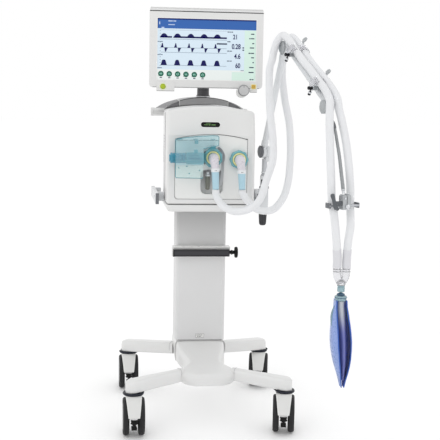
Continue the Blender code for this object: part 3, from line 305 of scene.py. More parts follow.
def skin(bm, rings, closed=True, caps=True):
    """Faces between successive rings of vertices."""
    for one, two in zip(rings, rings[1:]):
        count = len(one)
        for i in range(count if closed else count - 1):
            j = (i + 1) % count
            bm.faces.new((one[i], one[j], two[j], two[i]))
    if caps:
        bm.faces.new(rings[0][::-1])
        bm.faces.new(rings[-1])


def frame_of(axis):
    """Two unit vectors square to an axis."""
    axis = axis.normalized()
    side = axis.cross(Z) if abs(axis.z) < 0.9 else axis.cross(X)
    side.normalize()
    return side, axis.cross(side).normalized()


def turned(bm, profile, centre, axis, sides=48, lobes=0, depth=0.0):
    """Rings of (radius, height) about an axis; lobes add scallops or ribs to every ring."""
    u, v = frame_of(axis)
    axis = axis.normalized()
    rings = []
    for radius, height in profile:
        ring = []
        for i in range(sides):
            a = 2 * math.pi * i / sides
            r = radius - depth * (1 - math.cos(lobes * a)) / 2 if lobes else radius
            r = max(r, 1e-5)
            ring.append(bm.verts.new(centre + u * r * math.cos(a) + v * r * math.sin(a)
                                     + axis * height))
        rings.append(ring)
    skin(bm, rings)
    return bm


def lathe(name, profile, centre, axis, mat, body, sides=48, lobes=0, depth=0.0, **options):
    return piece(name, turned(bmesh.new(), profile, centre, axis, sides, lobes, depth), mat, body,
                 **options)


def swept(bm, path, radius, sides=20):
    """A tube along points; radius is a number or a list with one for each point."""
    path = [Vector(p) for p in path]
    radii = radius if isinstance(radius, (list, tuple)) else [radius] * len(path)
    tangents = [(b - a).normalized() for a, b in zip(path, path[1:])]
    tangents = ([tangents[0]] + [(a + b).normalized() for a, b in zip(tangents, tangents[1:])]
                + [tangents[-1]])
    side, _ = frame_of(tangents[0])
    rings = []
    for point, tangent, r in zip(path, tangents, radii):
        side = (side - tangent * side.dot(tangent)).normalized()
        other = tangent.cross(side)
        rings.append([bm.verts.new(point + (side * math.cos(a) + other * math.sin(a)) * r)
                      for a in (2 * math.pi * i / sides for i in range(sides))])
    skin(bm, rings)
    return bm


def slab(bm, outline, thickness, origin, right, up):
    """A closed 2D outline as a plate: its face at the origin's plane, its depth behind it."""
    back = right.cross(up) * -thickness
    front_ring = [bm.verts.new(origin + right * x + up * y) for x, y in outline]
    back_ring = [bm.verts.new(origin + right * x + up * y + back) for x, y in outline]
    skin(bm, [front_ring, back_ring])
    return bm


def band(bm, outline, inner, thickness, origin, right, up):
    """A plate between two outlines with the same number of points."""
    back = right.cross(up) * -thickness
    rings = [[bm.verts.new(origin + right * x + up * y + shift) for x, y in line]
             for line, shift in ((outline, Vector()), (outline, back), (inner, back),
                                 (inner, Vector()))]
    skin(bm, rings + rings[:1], caps=False)
    return bm


def block(bm, low, high):
    corners = [Vector((x, y, z)) for z in (low[2], high[2])
               for x, y in ((low[0], low[1]), (high[0], low[1]), (high[0], high[1]),
                            (low[0], high[1]))]
    verts = [bm.verts.new(c) for c in corners]
    skin(bm, [verts[:4], verts[4:]])
    return bm


def arc(cx, cy, radius, start, end, steps):
    return [(cx + radius * math.cos(math.radians(start + (end - start) * i / steps)),
             cy + radius * math.sin(math.radians(start + (end - start) * i / steps)))
            for i in range(steps + 1)]


def circle(cx, cy, radius, steps=32):
    return arc(cx, cy, radius, 0, 360 - 360 / steps, steps - 1)


def rounded(x0, x1, y0, y1, radius, steps=6):
    return (arc(x1 - radius, y0 + radius, radius, -90, 0, steps)
            + arc(x1 - radius, y1 - radius, radius, 0, 90, steps)
            + arc(x0 + radius, y1 - radius, radius, 90, 180, steps)
            + arc(x0 + radius, y0 + radius, radius, 180, 270, steps))


def rectangle(x0, x1, y0, y1):
    return [(x0, y0), (x1, y0), (x1, y1), (x0, y1)]


def chaikin(points, rounds=2):
    """Corner cutting on a closed ring of points."""
    for _ in range(rounds):
        out = []
        for a, b in zip(points, points[1:] + points[:1]):
            out += [a * 0.75 + b * 0.25, a * 0.25 + b * 0.75]
        points = out
    return points


def spline(points, per_span=8):
    """Catmull-Rom points through the given ones, which may be vectors of any length."""
    places = [np.array(p, float) for p in points]
    ends = [2 * places[0] - places[1], *places, 2 * places[-1] - places[-2]]
    out = []
    for a, b, c, d in zip(ends, ends[1:], ends[2:], ends[3:]):
        for i in range(per_span):
            t = i / per_span
            out.append(0.5 * (2 * b + (c - a) * t + (2 * a - 5 * b + 4 * c - d) * t * t
                              + (3 * b - a - 3 * c + d) * t ** 3))
    return out + [places[-1]]


def evenly(points, step):
    """The same path with points a fixed distance apart."""
    path = np.array([list(p) for p in points], float)
    lengths = np.concatenate([[0], np.cumsum(np.linalg.norm(np.diff(path, axis=0), axis=1))])
    count = max(2, int(round(lengths[-1] / step)))
    marks = np.linspace(0, lengths[-1], count + 1)
    return [Vector([np.interp(m, lengths, path[:, k]) for k in range(3)]) for m in marks]


def finish_node(name, mat, bevel=0.0, angle=35, segments=2):
    """Give a CAD node that stays on show its material, smooth shading and finer edges."""
    node = NODES[name]
    node.data.materials.clear()
    node.data.materials.append(mat)
    node.data.shade_smooth()
    node.data.set_sharp_from_angle(angle=math.radians(angle))
    if bevel:
        rounding = node.modifiers.new("fine_edges", "BEVEL")
        rounding.width = bevel
        rounding.segments = segments
        rounding.limit_method = "ANGLE"
        rounding.angle_limit = math.radians(angle)
    return node


def screw_heads(name, places, axis, radius, mat, body):
    """Small pan-head screws with a shallow round dip standing for the cross recess."""
    bm = bmesh.new()
    for place in places:
        turned(bm, [(0, 0.0011), (radius * 0.45, 0.0011), (radius * 0.5, 0.0004),
                    (radius * 0.62, 0.0012), (radius, 0.0003), (radius, -0.0008), (0, -0.0008)],
               place, axis, 20)
    return piece(name, bm, mat, body)


# ------------------------------------------------------------------ casters
WHEEL_RADIUS = 0.0625
WHEEL_HALF = 0.0105
TREAD_ROUND = 0.0075


def wheel(name):
    """Tyre with a rounded tread and two fine grooves, and a cover disc on the outer side."""
    low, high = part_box(name)
    centre = (low + high) / 2
    outer_side = -1 if name.endswith("_left") else 1
    axis = Vector(JOINTS[name + "_spin"]["axis"]) * outer_side
    tread = [(WHEEL_RADIUS - TREAD_ROUND * (1 - math.sin(math.radians(a))),
              (WHEEL_HALF - TREAD_ROUND) + TREAD_ROUND * math.cos(math.radians(a)))
             for a in range(0, 91, 15)]
    upper = [(0.0460, WHEEL_HALF - 0.0005), (0.0540, WHEEL_HALF)] + tread
    groove = [(WHEEL_RADIUS, 0.0030), (WHEEL_RADIUS - 0.0007, 0.0026),
              (WHEEL_RADIUS - 0.0007, 0.0018), (WHEEL_RADIUS, 0.0014)]
    half = [(0, WHEEL_HALF - 0.0040), (0.0452, WHEEL_HALF - 0.0040)] + upper + groove
    profile = half + [(r, -h) for r, h in reversed(half)]
    lathe(name + "_tyre", profile, centre, axis, TYRE, name, 72, slot="tyre", replaces=(name,))
    disc = [(0, 0.0004), (0.0075, 0.0004), (0.0080, -0.0006), (0.0120, -0.0012),
            (0.0250, -0.0020), (0.0340, -0.0014), (0.0400, 0.0), (0.0440, -0.0006),
            (0.0450, -0.0022), (0.0450, -0.0060), (0, -0.0060)]
    lathe(name + "_cover", disc, centre + axis * WHEEL_HALF, axis, COVER_DISC, name, 60,
          slot="housing")
    bm = bmesh.new()
    u, v = frame_of(axis)
    for i in range(5):
        a = 2 * math.pi * i / 5
        spoke = u * math.cos(a) + v * math.sin(a)
        swept(bm, [centre + axis * (WHEEL_HALF - 0.0016) + spoke * r for r in (0.013, 0.038)],
              [0.0018, 0.0011], 10)
    piece(name + "_cover_ribs", bm, COVER_DISC, name, slot="housing")


FENDER_START, FENDER_END = 80, 169      # degrees about the axle
FENDER_RADIUS = 0.0655


def fender_half(angle):
    """Half the fender's width, narrowing towards its lower end."""
    share = max(0.0, (angle - 90) / 105)
    return 0.026 - 0.012 * share ** 1.2


def caster_frame(name):
    """Axle centre of a caster, and its directions along the axle and towards its back."""
    left, right = (joint_place(f"{name}_wheel_{hand}_spin") for hand in ("left", "right"))
    side = (right - left).normalized()
    return (left + right) / 2, side, Z.cross(side)


def caster_housing(name):
    """White shell over the front of the wheels, with a brighter rolled edge."""
    swivel = SWIVELS[name]
    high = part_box(name + "_wheel_left")[1]
    axle, side, back = caster_frame(name)

    def spot(angle, share, lift):
        a = math.radians(angle)
        half = fender_half(angle)
        crown = 0.0012 * (1 - share * share)
        r = FENDER_RADIUS + lift + crown
        return axle + side * half * share + back * r * math.cos(a) + Z * r * math.sin(a)

    shares = [i / 6 for i in range(-6, 7)]
    bm = bmesh.new()
    rings = []
    for angle in np.linspace(FENDER_START, FENDER_END, 40):
        outer = [bm.verts.new(spot(angle, s, 0.0034)) for s in shares]
        inner = [bm.verts.new(spot(angle, s, 0.0)) for s in reversed(shares)]
        rings.append(outer + inner)
    skin(bm, rings)
    piece(name + "_fender", bm, HOUSING, name, slot="housing", replaces=(name + "_housing",))

    bm = bmesh.new()
    for share in (-1, 1):
        path = [spot(a, share, 0.0022) for a in np.linspace(FENDER_START, FENDER_END, 40)]
        swept(bm, path, 0.0014, 10)
    swept(bm, [spot(FENDER_END, s, 0.0018) for s in shares], 0.0015, 10)
    piece(name + "_fender_edge", bm, HOUSING_EDGE, name, slot="housing")

    web = [Vector((y, z)) for y, z in arc(0, 0, FENDER_RADIUS, 75, 170, 24)
           + [(-0.0330, 0.0020), (0.0140, -0.0170), (0.0250, 0.0060)]]
    bm = slab(bmesh.new(), [(p.x, p.y) for p in web], 0.025, axle + side * 0.0125, back, Z)
    piece(name + "_web", bm, HOUSING, name, bevel=0.0015, slot="housing")
    top = high.z + 0.0068
    flange = [(0, top + 0.0055), (0.0085, top + 0.0055), (0.0085, top), (0.0250, top - 0.0005),
              (0.0262, top - 0.0020), (0.0250, top - 0.0048), (0, top - 0.0048)]
    base = Vector((swivel.x, swivel.y, 0))
    lathe(name + "_flange", flange, base, Z, HOUSING, name, 48, slot="housing")
    stem = [(0, 0.160), (0.0052, 0.160), (0.0060, 0.158), (0.0060, top), (0, top)]
    lathe(name + "_stem", stem, base, Z, STEEL, name, 24)
    pin = [(0, 0.0285), (0.0042, 0.0285), (0.0048, 0.0278), (0.0048, -0.0278), (0.0042, -0.0285),
           (0, -0.0285)]
    lathe(name + "_axle", pin, axle, side, STEEL, name, 20)


def caster_ring(name):
    """Dark open ring round the stem, its two ends turned up beside each other."""
    swivel = SWIVELS[name]
    inward = -1 if name.endswith("right") else 1
    facing = 15 if "front" in name else 165
    rise = 0.0065 if "front" in name else 0.0010
    z, ring_radius = 0.1350, 0.0315
    points, radii = [], []
    for i in range(49):
        share = i / 48
        a = math.radians(facing * inward + 20 + 320 * share)
        lift = rise * max(0.0, (abs(share - 0.5) - 0.40) / 0.10) ** 2
        points.append(Vector((swivel.x + inward * ring_radius * math.cos(a),
                              swivel.y + ring_radius * math.sin(a), z + lift)))
        radii.append(0.0040 + 0.0006 * math.sin(math.pi * share))
    bm = swept(bmesh.new(), points, radii, 14)
    disc = [(0, z + 0.0036), (0.0275, z + 0.0036), (0.0300, z + 0.0018), (0.0300, z - 0.0020),
            (0.0270, z - 0.0036), (0, z - 0.0036)]
    turned(bm, disc, Vector((swivel.x, swivel.y, 0)), Z, 48)
    piece(name + "_ring", bm, RING_BLUE, name, slot="dark")


def brake_pedal(name):
    """Black pedal between the wheels: a ribbed plate with side ears and a pointed prong."""
    _, side, back = caster_frame(name)
    pivot = joint_place(name + "_brake_press")
    face = pivot - back * 0.0335 + Z * 0.0310
    bm = bmesh.new()
    ears = [(-0.0125, -0.0010), (-0.0095, 0.0016), (-0.0060, 0.0005), (0.0060, 0.0005),
            (0.0095, 0.0016), (0.0125, -0.0010), (0.0100, -0.0060), (0.0128, -0.0110),
            (0.0080, -0.0140), (0.0048, -0.0150), (0.0044, -0.0305), (0, -0.0325),
            (-0.0044, -0.0305), (-0.0048, -0.0150), (-0.0080, -0.0140), (-0.0128, -0.0110),
            (-0.0100, -0.0060)]
    slab(bm, ears, 0.0052, face, side, Z)
    slab(bm, rectangle(-0.0088, 0.0088, -0.0034, 0.0030), 0.0315, pivot - back * 0.0295, side, Z)
    for i in range(4):
        z = 0.0034 * i - 0.0120
        swept(bm, [face + side * s * 0.0080 + Z * z for s in (-1, 1)], 0.0007, 8)
    piece(name + "_pedal", bm, BLACK, name + "_brake", bevel=0.0008, slot="dark",
          replaces=(name + "_brake_pedal",))


def casters():
    for name in CASTER_NAMES:
        for side in ("left", "right"):
            wheel(f"{name}_wheel_{side}")
        caster_housing(name)
        caster_ring(name)
        brake_pedal(name)


# ------------------------------------------------------------------ trolley
def hub():
    """Hub cover: under the column, waisted in front of it, flaring to a blunt nose."""
    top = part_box("base_hub")[1].z
    stations = [(0.2210, 0.0895, 0.0840, top, 0.0, 0.0), (0.2150, 0.0895, 0.0850, top, 0.0, 0.0),
                (0.0800, 0.0895, 0.0850, top, 0.0, 0.0),
                (0.0755, 0.0890, 0.0840, top - 0.002, 0.0005, 0.0),
                (0.0100, 0.0820, 0.0740, 0.2110, 0.0012, 0.0),
                (-0.0600, 0.0720, 0.0590, 0.2040, 0.0018, 0.0),
                (-0.1150, 0.0740, 0.0540, 0.1990, 0.0024, 0.0015),
                (-0.1500, 0.0850, 0.0680, 0.1962, 0.0030, 0.0035),
                (-0.1740, 0.0930, 0.0825, 0.1930, 0.0036, 0.0055),
                (-0.2050, 0.0932, 0.0845, 0.1888, 0.0046, 0.0060),
                (-0.2240, 0.0770, 0.0690, 0.1852, 0.0054, 0.0060),
                (-0.2360, 0.0500, 0.0430, 0.1822, 0.0054, 0.0050),
                (-0.2418, 0.0180, 0.0150, 0.1780, 0.0030, 0.0010)]
    bm = bmesh.new()
    rings = []
    for y, wide, narrow, height, crown, sag in spline(stations, 6):
        shoulder = height - 0.006
        bottom = 0.151 - sag
        half = [Vector((0.6 * wide, bottom)), Vector((wide - 0.003 - 1.2 * sag, bottom)),
                Vector((wide, bottom + 0.006 + 1.5 * sag)), Vector((wide, bottom + 0.022)),
                Vector((0.5 * (wide + narrow) + 0.004, 0.5 * (bottom + 0.022 + shoulder))),
                Vector((narrow + 0.0035, shoulder)), Vector((narrow - 0.002, height)),
                Vector((narrow * 0.45, height + crown))]
        ring = half + [Vector((-p.x, p.y)) for p in reversed(half)]
        rings.append([bm.verts.new(at(p.x, y, p.y)) for p in chaikin(ring, 2)])
    skin(bm, rings)
    piece("hub_cover", bm, BASE_WHITE, "trolley", angle=50, slot="lacquer",
          replaces=("base_hub",))


LEG_THICKNESS = 0.042
LEG_FALL = 0.080


def leg(name, side, rear):
    """A leg with a crowned top and a rounded end over its caster."""
    swivel = SWIVELS[f"caster_{'rear' if rear else 'front'}_{'left' if side < 0 else 'right'}"]
    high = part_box(name)[1]
    root_half = 0.0255 if rear else 0.0170
    root = at(side * (0.0900 if rear else 0.0945), 0.191 if rear else -0.193, 0)
    centre = Vector((swivel.x, swivel.y, 0))
    along = (centre - root).normalized()
    across = Z.cross(along)
    reach = (centre - root).length
    end = 0.0273
    marks = [-0.0100] + [reach * i / 14 for i in range(15)]
    marks += [reach + end * math.sin(math.radians(a)) for a in range(8, 90, 9)]
    bm = bmesh.new()
    rings = []
    for mark in marks:
        share = min(1.0, mark / reach)
        half = root_half + (end - root_half) * share
        over = max(0.0, mark - reach)
        half *= math.sqrt(max(0.0, 1 - (over / end) ** 2)) if over else 1.0
        crown = high.z - LEG_FALL * mark - 0.0070 * (over / end) ** 3
        bottom = high.z - LEG_THICKNESS - LEG_FALL * mark
        edge = min(0.010, 0.8 * half)
        section = [Vector((0.55 * half, bottom)), Vector((half - 0.3 * edge, bottom + 0.0005)),
                   Vector((half, bottom + 0.004)), Vector((half, crown - 0.017)),
                   Vector((half - 0.0006, crown - 0.0105)),
                   Vector((half - 0.45 * edge, crown - 0.0025)),
                   Vector((half - edge, crown - 0.0004)), Vector((0.4 * half, crown))]
        ring = section + [Vector((-p.x, p.y)) for p in reversed(section)]
        rings.append([bm.verts.new(root + along * mark + across * p.x + Z * p.y)
                      for p in chaikin(ring, 2)])
    skin(bm, rings)
    piece(name + "_shell", bm, BASE_WHITE, "trolley", angle=50, slot="lacquer", replaces=(name,))

    top, bottom = high.z, high.z - LEG_THICKNESS
    ring = [root + along * 0.0016 + across * p.x + Z * p.y
            for p in chaikin([Vector((root_half + 0.0004, bottom - 0.0002)),
                              Vector((root_half + 0.0004, top - 0.004)),
                              Vector((root_half - 0.006, top + 0.0004)),
                              Vector((-root_half + 0.006, top + 0.0004)),
                              Vector((-root_half - 0.0004, top - 0.004)),
                              Vector((-root_half - 0.0004, bottom - 0.0002))], 2)]
    bm = swept(bmesh.new(), ring + ring[:1], 0.0005, 8)
    piece(name + "_seam", bm, SEAM_SOFT, "trolley")


def column():
    """Column tube with painted shade darkening its upper part, a seam at its foot and a blank label
    plate.
    """
    finish_node("column_shell", COLUMN_LACQUER_SHADED, 0.0, 30)
    low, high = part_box("column_shell")
    bm = bmesh.new()
    block(bm, (low.x + 0.010, low.y - 0.0003, low.z),
          (high.x - 0.010, low.y + 0.001, low.z + 0.0012))
    piece("column_foot_seam", bm, SEAM, "trolley")
    label = rounded(-0.0155, 0.0155, -0.0070, 0.0070, 0.0012, 3)
    spot = Vector((MIDDLE.x - 0.0005, low.y - 0.0005, low.z + 0.0160))
    bm = slab(bmesh.new(), label, 0.0008, spot, X, Z)
    piece("label_plate", bm, PANEL, "trolley", slot="casing")
    bm = bmesh.new()
    band(bm, label, rounded(-0.0149, 0.0149, -0.0064, 0.0064, 0.0010, 3), 0.0003,
         spot + FRONT * 0.0002, X, Z)
    for row, (start, end) in ((0.0022, (-0.0120, 0.0110)), (-0.0028, (-0.0095, 0.0085))):
        x = start
        for width in (0.0050, 0.0072, 0.0060):
            if x + width > end:
                break
            slab(bm, rectangle(x, x + width, row - 0.0009, row + 0.0009), 0.0003,
                 spot + FRONT * 0.0002, X, Z)
            x += width + 0.0014
    piece("label_marks", bm, SEAM_DARK, "trolley")


def rail_and_knob():
    """Accessory rail on its bracket, with grooves, an end cap and a round end knob."""
    finish_node("rail_bracket", WHITE, 0.0, 35)
    low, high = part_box("rail_bracket")
    bm = block(bmesh.new(), (low.x + 0.001, low.y - 0.0130, high.z - 0.0028),
               (high.x - 0.001, low.y + 0.004, high.z - 0.0002))
    piece("rail_lip", bm, HOUSING_EDGE, "trolley", bevel=0.0008, slot="casing")
    finish_node("accessory_rail", RAIL_DARK, 0.0, 35)
    low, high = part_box("accessory_rail")
    bm = bmesh.new()
    for z0, z1 in ((low.z + 0.0034, low.z + 0.0046), (high.z - 0.0046, high.z - 0.0034)):
        block(bm, (low.x + 0.002, low.y - 0.0004, z0), (high.x - 0.002, low.y + 0.001, z1))
    piece("rail_grooves", bm, BLACK, "trolley", slot="dark")
    bm = block(bmesh.new(), (low.x - 0.0030, low.y - 0.0006, low.z - 0.0008),
               (low.x + 0.0006, high.y + 0.0006, high.z + 0.0008))
    piece("rail_end_cap", bm, BLACK, "trolley", bevel=0.0012, slot="dark")
    low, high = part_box("rail_knob")
    centre = Vector((low.x, (low.y + high.y) / 2, (low.z + high.z) / 2))
    head = [(0, 0.0300), (0.0120, 0.0300), (0.0170, 0.0294), (0.0193, 0.0280), (0.0200, 0.0262),
            (0.0200, 0.0222), (0.0193, 0.0204), (0.0175, 0.0190), (0.0070, 0.0188), (0, 0.0188)]
    bm = turned(bmesh.new(), head, centre, X, 96, 16, 0.0012)
    neck = [(0, 0.0190), (0.0064, 0.0190), (0.0064, 0.0120), (0.0085, 0.0110), (0.0085, 0.0060),
            (0.0062, 0.0050), (0.0062, 0.0002), (0, 0.0002)]
    turned(bm, neck, centre, X, 32)
    piece("rail_knob_body", bm, BLACK, "rail_knob", slot="dark", replaces=("rail_knob",))


def tray():
    """Tray with drawn-in lower edges and a dark shadow gap under the unit."""
    low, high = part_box("ventilator_tray")
    bm = bmesh.new()
    rings = []
    for inset, z in ((0.0145, low.z), (0.0085, low.z + 0.0012), (0.0045, low.z + 0.0048),
                     (0.0024, low.z + 0.0100), (0.0008, low.z + 0.0170), (0.0, high.z - 0.0022),
                     (0.0008, high.z - 0.0006), (0.0030, high.z)):
        outline = rounded(low.x + inset, high.x - inset, low.y + inset, high.y - inset, 0.010)
        rings.append([bm.verts.new((x, y, z)) for x, y in outline])
    skin(bm, rings)
    piece("tray_shell", bm, WHITE, "trolley", slot="casing", replaces=("ventilator_tray",))
    bm = bmesh.new()
    outline = rounded(low.x + 0.004, high.x - 0.004, low.y + 0.0035, high.y - 0.004, 0.010)
    slab(bm, outline, 0.0010, Vector((0, 0, high.z + 0.0008)), X, Y)
    piece("tray_gap", bm, SEAM_DARK, "trolley")


def side_rails():
    """Metal rails on both flanks, with end caps and screws."""
    for hand, side in (("left", -1), ("right", 1)):
        name = f"side_rail_{hand}"
        finish_node(name, ARM, 0.0008, 35)
        low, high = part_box(name)
        outer = high.x if side > 0 else low.x
        xs = sorted((outer + side * 0.0006, outer - side * 0.0106))
        bm = bmesh.new()
        for y0, y1 in ((low.y - 0.0025, low.y + 0.0015), (high.y - 0.0015, high.y + 0.0025)):
            block(bm, (xs[0], y0, low.z - 0.0006), (xs[1], y1, high.z + 0.0006))
        piece(name + "_caps", bm, KNOB_GREY, "trolley", bevel=0.0014, slot="arm")
        face = Vector((outer, 0, (low.z + high.z) / 2))
        places = [Vector((face.x, y, face.z)) for y in (low.y + 0.0805, high.y - 0.0125)]
        screw_heads(name + "_screws", places, X * side, 0.0042, STEEL, "trolley")


def handle():
    """Push handle behind the unit, with end caps, grip ribs and feet."""
    finish_node("push_handle", WHITE, 0.0, 35)
    low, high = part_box("push_handle")
    y, z = high.y - 0.015, (low.z + high.z) / 2
    cap = [(0, 0.0042), (0.0060, 0.0040), (0.0110, 0.0030), (0.0143, 0.0010), (0.0154, -0.0015),
           (0.0154, -0.0060), (0.0148, -0.0070), (0, -0.0070)]
    for hand, x, axis in (("left", low.x + 0.0040, -X), ("right", high.x - 0.0040, X)):
        lathe(f"handle_cap_{hand}", cap, Vector((x, y, z)), axis, WHITE_BACK, "trolley", 40,
              slot="casing")
    bm = bmesh.new()
    for i in range(31):
        x = MIDDLE.x - 0.075 + 0.005 * i
        turned(bm, [(0.0142, 0.0012), (0.0156, 0.0008), (0.0156, -0.0008), (0.0142, -0.0012)],
               Vector((x, y, z)), X, 32)
    piece("handle_grip_ribs", bm, KNOB_GREY, "trolley", slot="casing")
    bm = bmesh.new()
    for side in (-1, 1):
        x = MIDDLE.x + side * 0.105
        slab(bm, rounded(x - 0.020, x + 0.020, z - 0.017, z + 0.017, 0.004), 0.0030,
             Vector((0, low.y + 0.0032, 0)), X, Z)
    piece("handle_feet", bm, WHITE_BACK, "trolley", bevel=0.0008, slot="casing")


# -------------------------------------------------------------- the unit
UNIT_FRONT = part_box("front_casing")[0].y
UNIT_HALF = 0.1465
PANEL_SHOULDER = 0.972
PANEL_CROWN = 0.016
NICHE = (-0.035, 0.041, 0.790, 0.872)


def panel_outline(inset):
    half = 0.120 - inset
    low = 0.774 + inset
    radius = 0.010
    top = [(half * (1 - i / 12), PANEL_SHOULDER - inset + PANEL_CROWN * (1 - (1 - i / 12) ** 2))
           for i in range(25)]
    return (arc(half - radius, low + radius, radius, -90, 0, 6) + top
            + arc(radius - half, low + radius, radius, 180, 270, 6))


def niche_outline(grow):
    x0, x1, z0, z1 = NICHE
    return rounded(x0 - grow, x1 + grow, z0 - grow, z1 + grow, 0.018 + grow, 8)


def casings():
    """Front and rear casing and the recessed panel, with the seams between them."""
    finish_node("front_casing", WHITE, 0.0, 32)
    finish_node("rear_casing", WHITE_BACK, 0.0, 32)
    finish_node("recess_panel", PANEL, 0.0, 32)
    seam = [at(x, UNIT_FRONT - MIDDLE.y + 0.0002, z) for x, z in panel_outline(-0.0004)]
    bm = swept(bmesh.new(), seam + seam[:1], 0.0007, 8)
    piece("panel_seam", bm, SEAM, "trolley")
    arch = [p for p in seam if p.z > PANEL_SHOULDER - 0.001 and p.x > MIDDLE.x + 0.016]
    bm = swept(bmesh.new(), [p + FRONT * 0.0004 for p in arch], 0.0009, 8)
    block(bm, (MIDDLE.x + 0.1135, UNIT_FRONT - 0.0012, PANEL_SHOULDER + 0.0005),
          (MIDDLE.x + 0.1200, UNIT_FRONT, PANEL_SHOULDER + 0.0030))
    piece("panel_arch_seam", bm, SEAM_DARK, "trolley")
    low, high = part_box("rear_casing")
    outline = rounded(low.x - 0.0002, high.x + 0.0002, low.z + 0.004, high.z - 0.020, 0.006, 4)
    ring = [Vector((x, low.y - 0.0002, z)) for x, z in outline]
    bm = swept(bmesh.new(), [p for p in ring if p.z < high.z - 0.022], 0.0007, 8)
    piece("casing_seam", bm, SEAM, "trolley")


def niche():
    """Grey liner of the recess that holds the water trap, its upper part darkened with painted
    shade, and the dark arc of painted shade beside the valve.
    """
    y = UNIT_FRONT + 0.0010
    origin = at(0, y - MIDDLE.y, 0)
    bm = bmesh.new()
    band(bm, niche_outline(-0.0002), niche_outline(-0.0014), 0.0288, origin, X, Z)
    slab(bm, niche_outline(-0.0003), 0.0010, origin + Y * 0.0283, X, Z)
    piece("niche_liner", bm, NICHE_WALL_SHADED, "trolley", slot="casing")
    bm = bmesh.new()
    band(bm, niche_outline(0.0014), niche_outline(0.0002), 0.0008, origin + FRONT * 0.0014, X, Z)
    piece("niche_rim", bm, PANEL, "trolley", slot="casing")

    # A dark arc of painted shade where the recess's side wall lies in shadow beside the valve.
    cx, cz = 0.004, 0.912
    outer = arc(cx, cz, 0.0415, 62, -20, 16) + [(0.0425, 0.868), (0.0405, 0.836), (0.0345, 0.815)]
    inner = arc(cx, cz, 0.0325, 62, -20, 16) + [(0.0335, 0.868), (0.0320, 0.842), (0.0300, 0.824)]
    bm = slab(bmesh.new(), outer + inner[::-1], 0.0012, origin + FRONT * 0.0018, X, Z)
    piece("valve_wall_painted_shade", bm, VALVE_WALL_SHADE, "trolley", slot="casing")


def status_display():
    """Black pill-shaped display in a pale rim, with faint generic figures."""
    slope, lean_start, height = 0.35, 0.985, 1.0195
    lean = (height - lean_start) * slope
    up = (Z + Y * slope).normalized()
    centre = at(-0.003, UNIT_FRONT - MIDDLE.y + lean, height)
    normal = X.cross(up)
    bm = slab(bmesh.new(), rounded(-0.0340, 0.0340, -0.0105, 0.0105, 0.0104, 8), 0.003,
              centre + normal * 0.0008, X, up)
    piece("display_rim", bm, HOUSING_EDGE, "trolley", bevel=0.0004, slot="casing")
    bm = slab(bmesh.new(), rounded(-0.0318, 0.0318, -0.0086, 0.0086, 0.0085, 8), 0.002,
              centre + normal * 0.0012, X, up)
    piece("display_glass", bm, PILL, "trolley", slot="dark")
    bm = bmesh.new()
    x = -0.0216
    for width, tall in ((0.004, 0.0016), (0.003, 0.0030), (0.005, 0.0016), (0.003, 0.0036),
                        (0.004, 0.0016), (0.005, 0.0026), (0.004, 0.0030)):
        slab(bm, rectangle(x, x + width, -tall / 2 - 0.0008, tall / 2 - 0.0008), 0.0003,
             centre + normal * 0.0014, X, up)
        x += width + 0.0016
    slab(bm, rectangle(-0.0150, 0.0000, 0.0042, 0.0053), 0.0003, centre + normal * 0.0014, X, up)
    piece("display_figures", bm, PILL_GREEN, "trolley")


def top_cover():
    """Arched cover in three fields: a paler middle and two darker wings, with pale seams."""
    low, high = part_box("top_cover")
    apex, edge, split = high.z, 1.067, 0.086
    ends = [(low.y, 0.137), (high.y, 0.160)]

    def top(x, half):
        share = abs(x) / half
        return apex - (apex - edge) * (0.77 * share ** 2 + 0.23 * share ** 6)

    def under(x):
        return 1.0642 + 0.017 * max(0.0, 1 - (x / UNIT_HALF) ** 2)

    def field(name, near, far, mat, setback=0.0, drop=0.0):
        """A stretch of the hood between two shares or edges across, front to back."""
        rings = []
        bm = bmesh.new()
        for y, half in ((ends[0][0] + setback, ends[0][1]), ends[1]):
            x0, x1 = (value if value is not None else half * math.copysign(1, near or far)
                      for value in (near, far))
            xs = [x0 + (x1 - x0) * i / 24 for i in range(25)]
            line = [(x, top(x, half) - drop) for x in reversed(xs)]
            line += [(x, min(under(x), top(x, half) - drop - 0.0012)) for x in xs]
            rings.append([bm.verts.new((MIDDLE.x + x, y, z)) for x, z in line])
        skin(bm, rings)
        return piece(name, bm, mat, "trolley", bevel=0.0010, slot="cover")

    centre = field("cover_middle", 0.0006 - split, split - 0.0006, COVER)
    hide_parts("top_cover")
    field("cover_wing_left", None, -split - 0.0010, COVER_WING, 0.003, 0.0012)
    field("cover_wing_right", split + 0.0010, None, COVER_WING, 0.003, 0.0012)
    bm = bmesh.new()
    for side in (-1, 1):
        rings = []
        for y, half in ((ends[0][0] - 0.0004, ends[0][1]), ends[1]):
            x, z = side * split, top(split, half) + 0.0004
            rings.append([bm.verts.new((MIDDLE.x + x + dx, y, z + dz)) for dx, dz in
                          ((-0.0009, 0), (0.0009, 0), (0.0009, -0.0180), (-0.0009, -0.0180))])
        skin(bm, rings)
    piece("cover_seams", bm, PANEL, "trolley", slot="casing")
    bm = bmesh.new()
    front, half = ends[0]
    line = [Vector((MIDDLE.x + x, front - 0.0002, top(x, half) - 0.0010))
            for x in (split * (i / 12 - 1) for i in range(25))]
    swept(bm, line, 0.0009, 8)
    piece("cover_rim", bm, SEAM_DARK, "trolley", slot="cover")
    bm = bmesh.new()
    for side in (-1, 1):
        line = [Vector((MIDDLE.x + x, front + 0.0024, top(x, half) - 0.0012))
                for x in (side * (split + 0.003 + (half - split - 0.005) * i / 12)
                          for i in range(13))]
        swept(bm, line, 0.0011, 8)
        line = [Vector((MIDDLE.x + side * (wide - 0.0006), y, edge - 0.0004)) for y, wide in ends]
        swept(bm, line, 0.0011, 8)
    piece("cover_wing_edges", bm, COVER, "trolley", slot="cover")


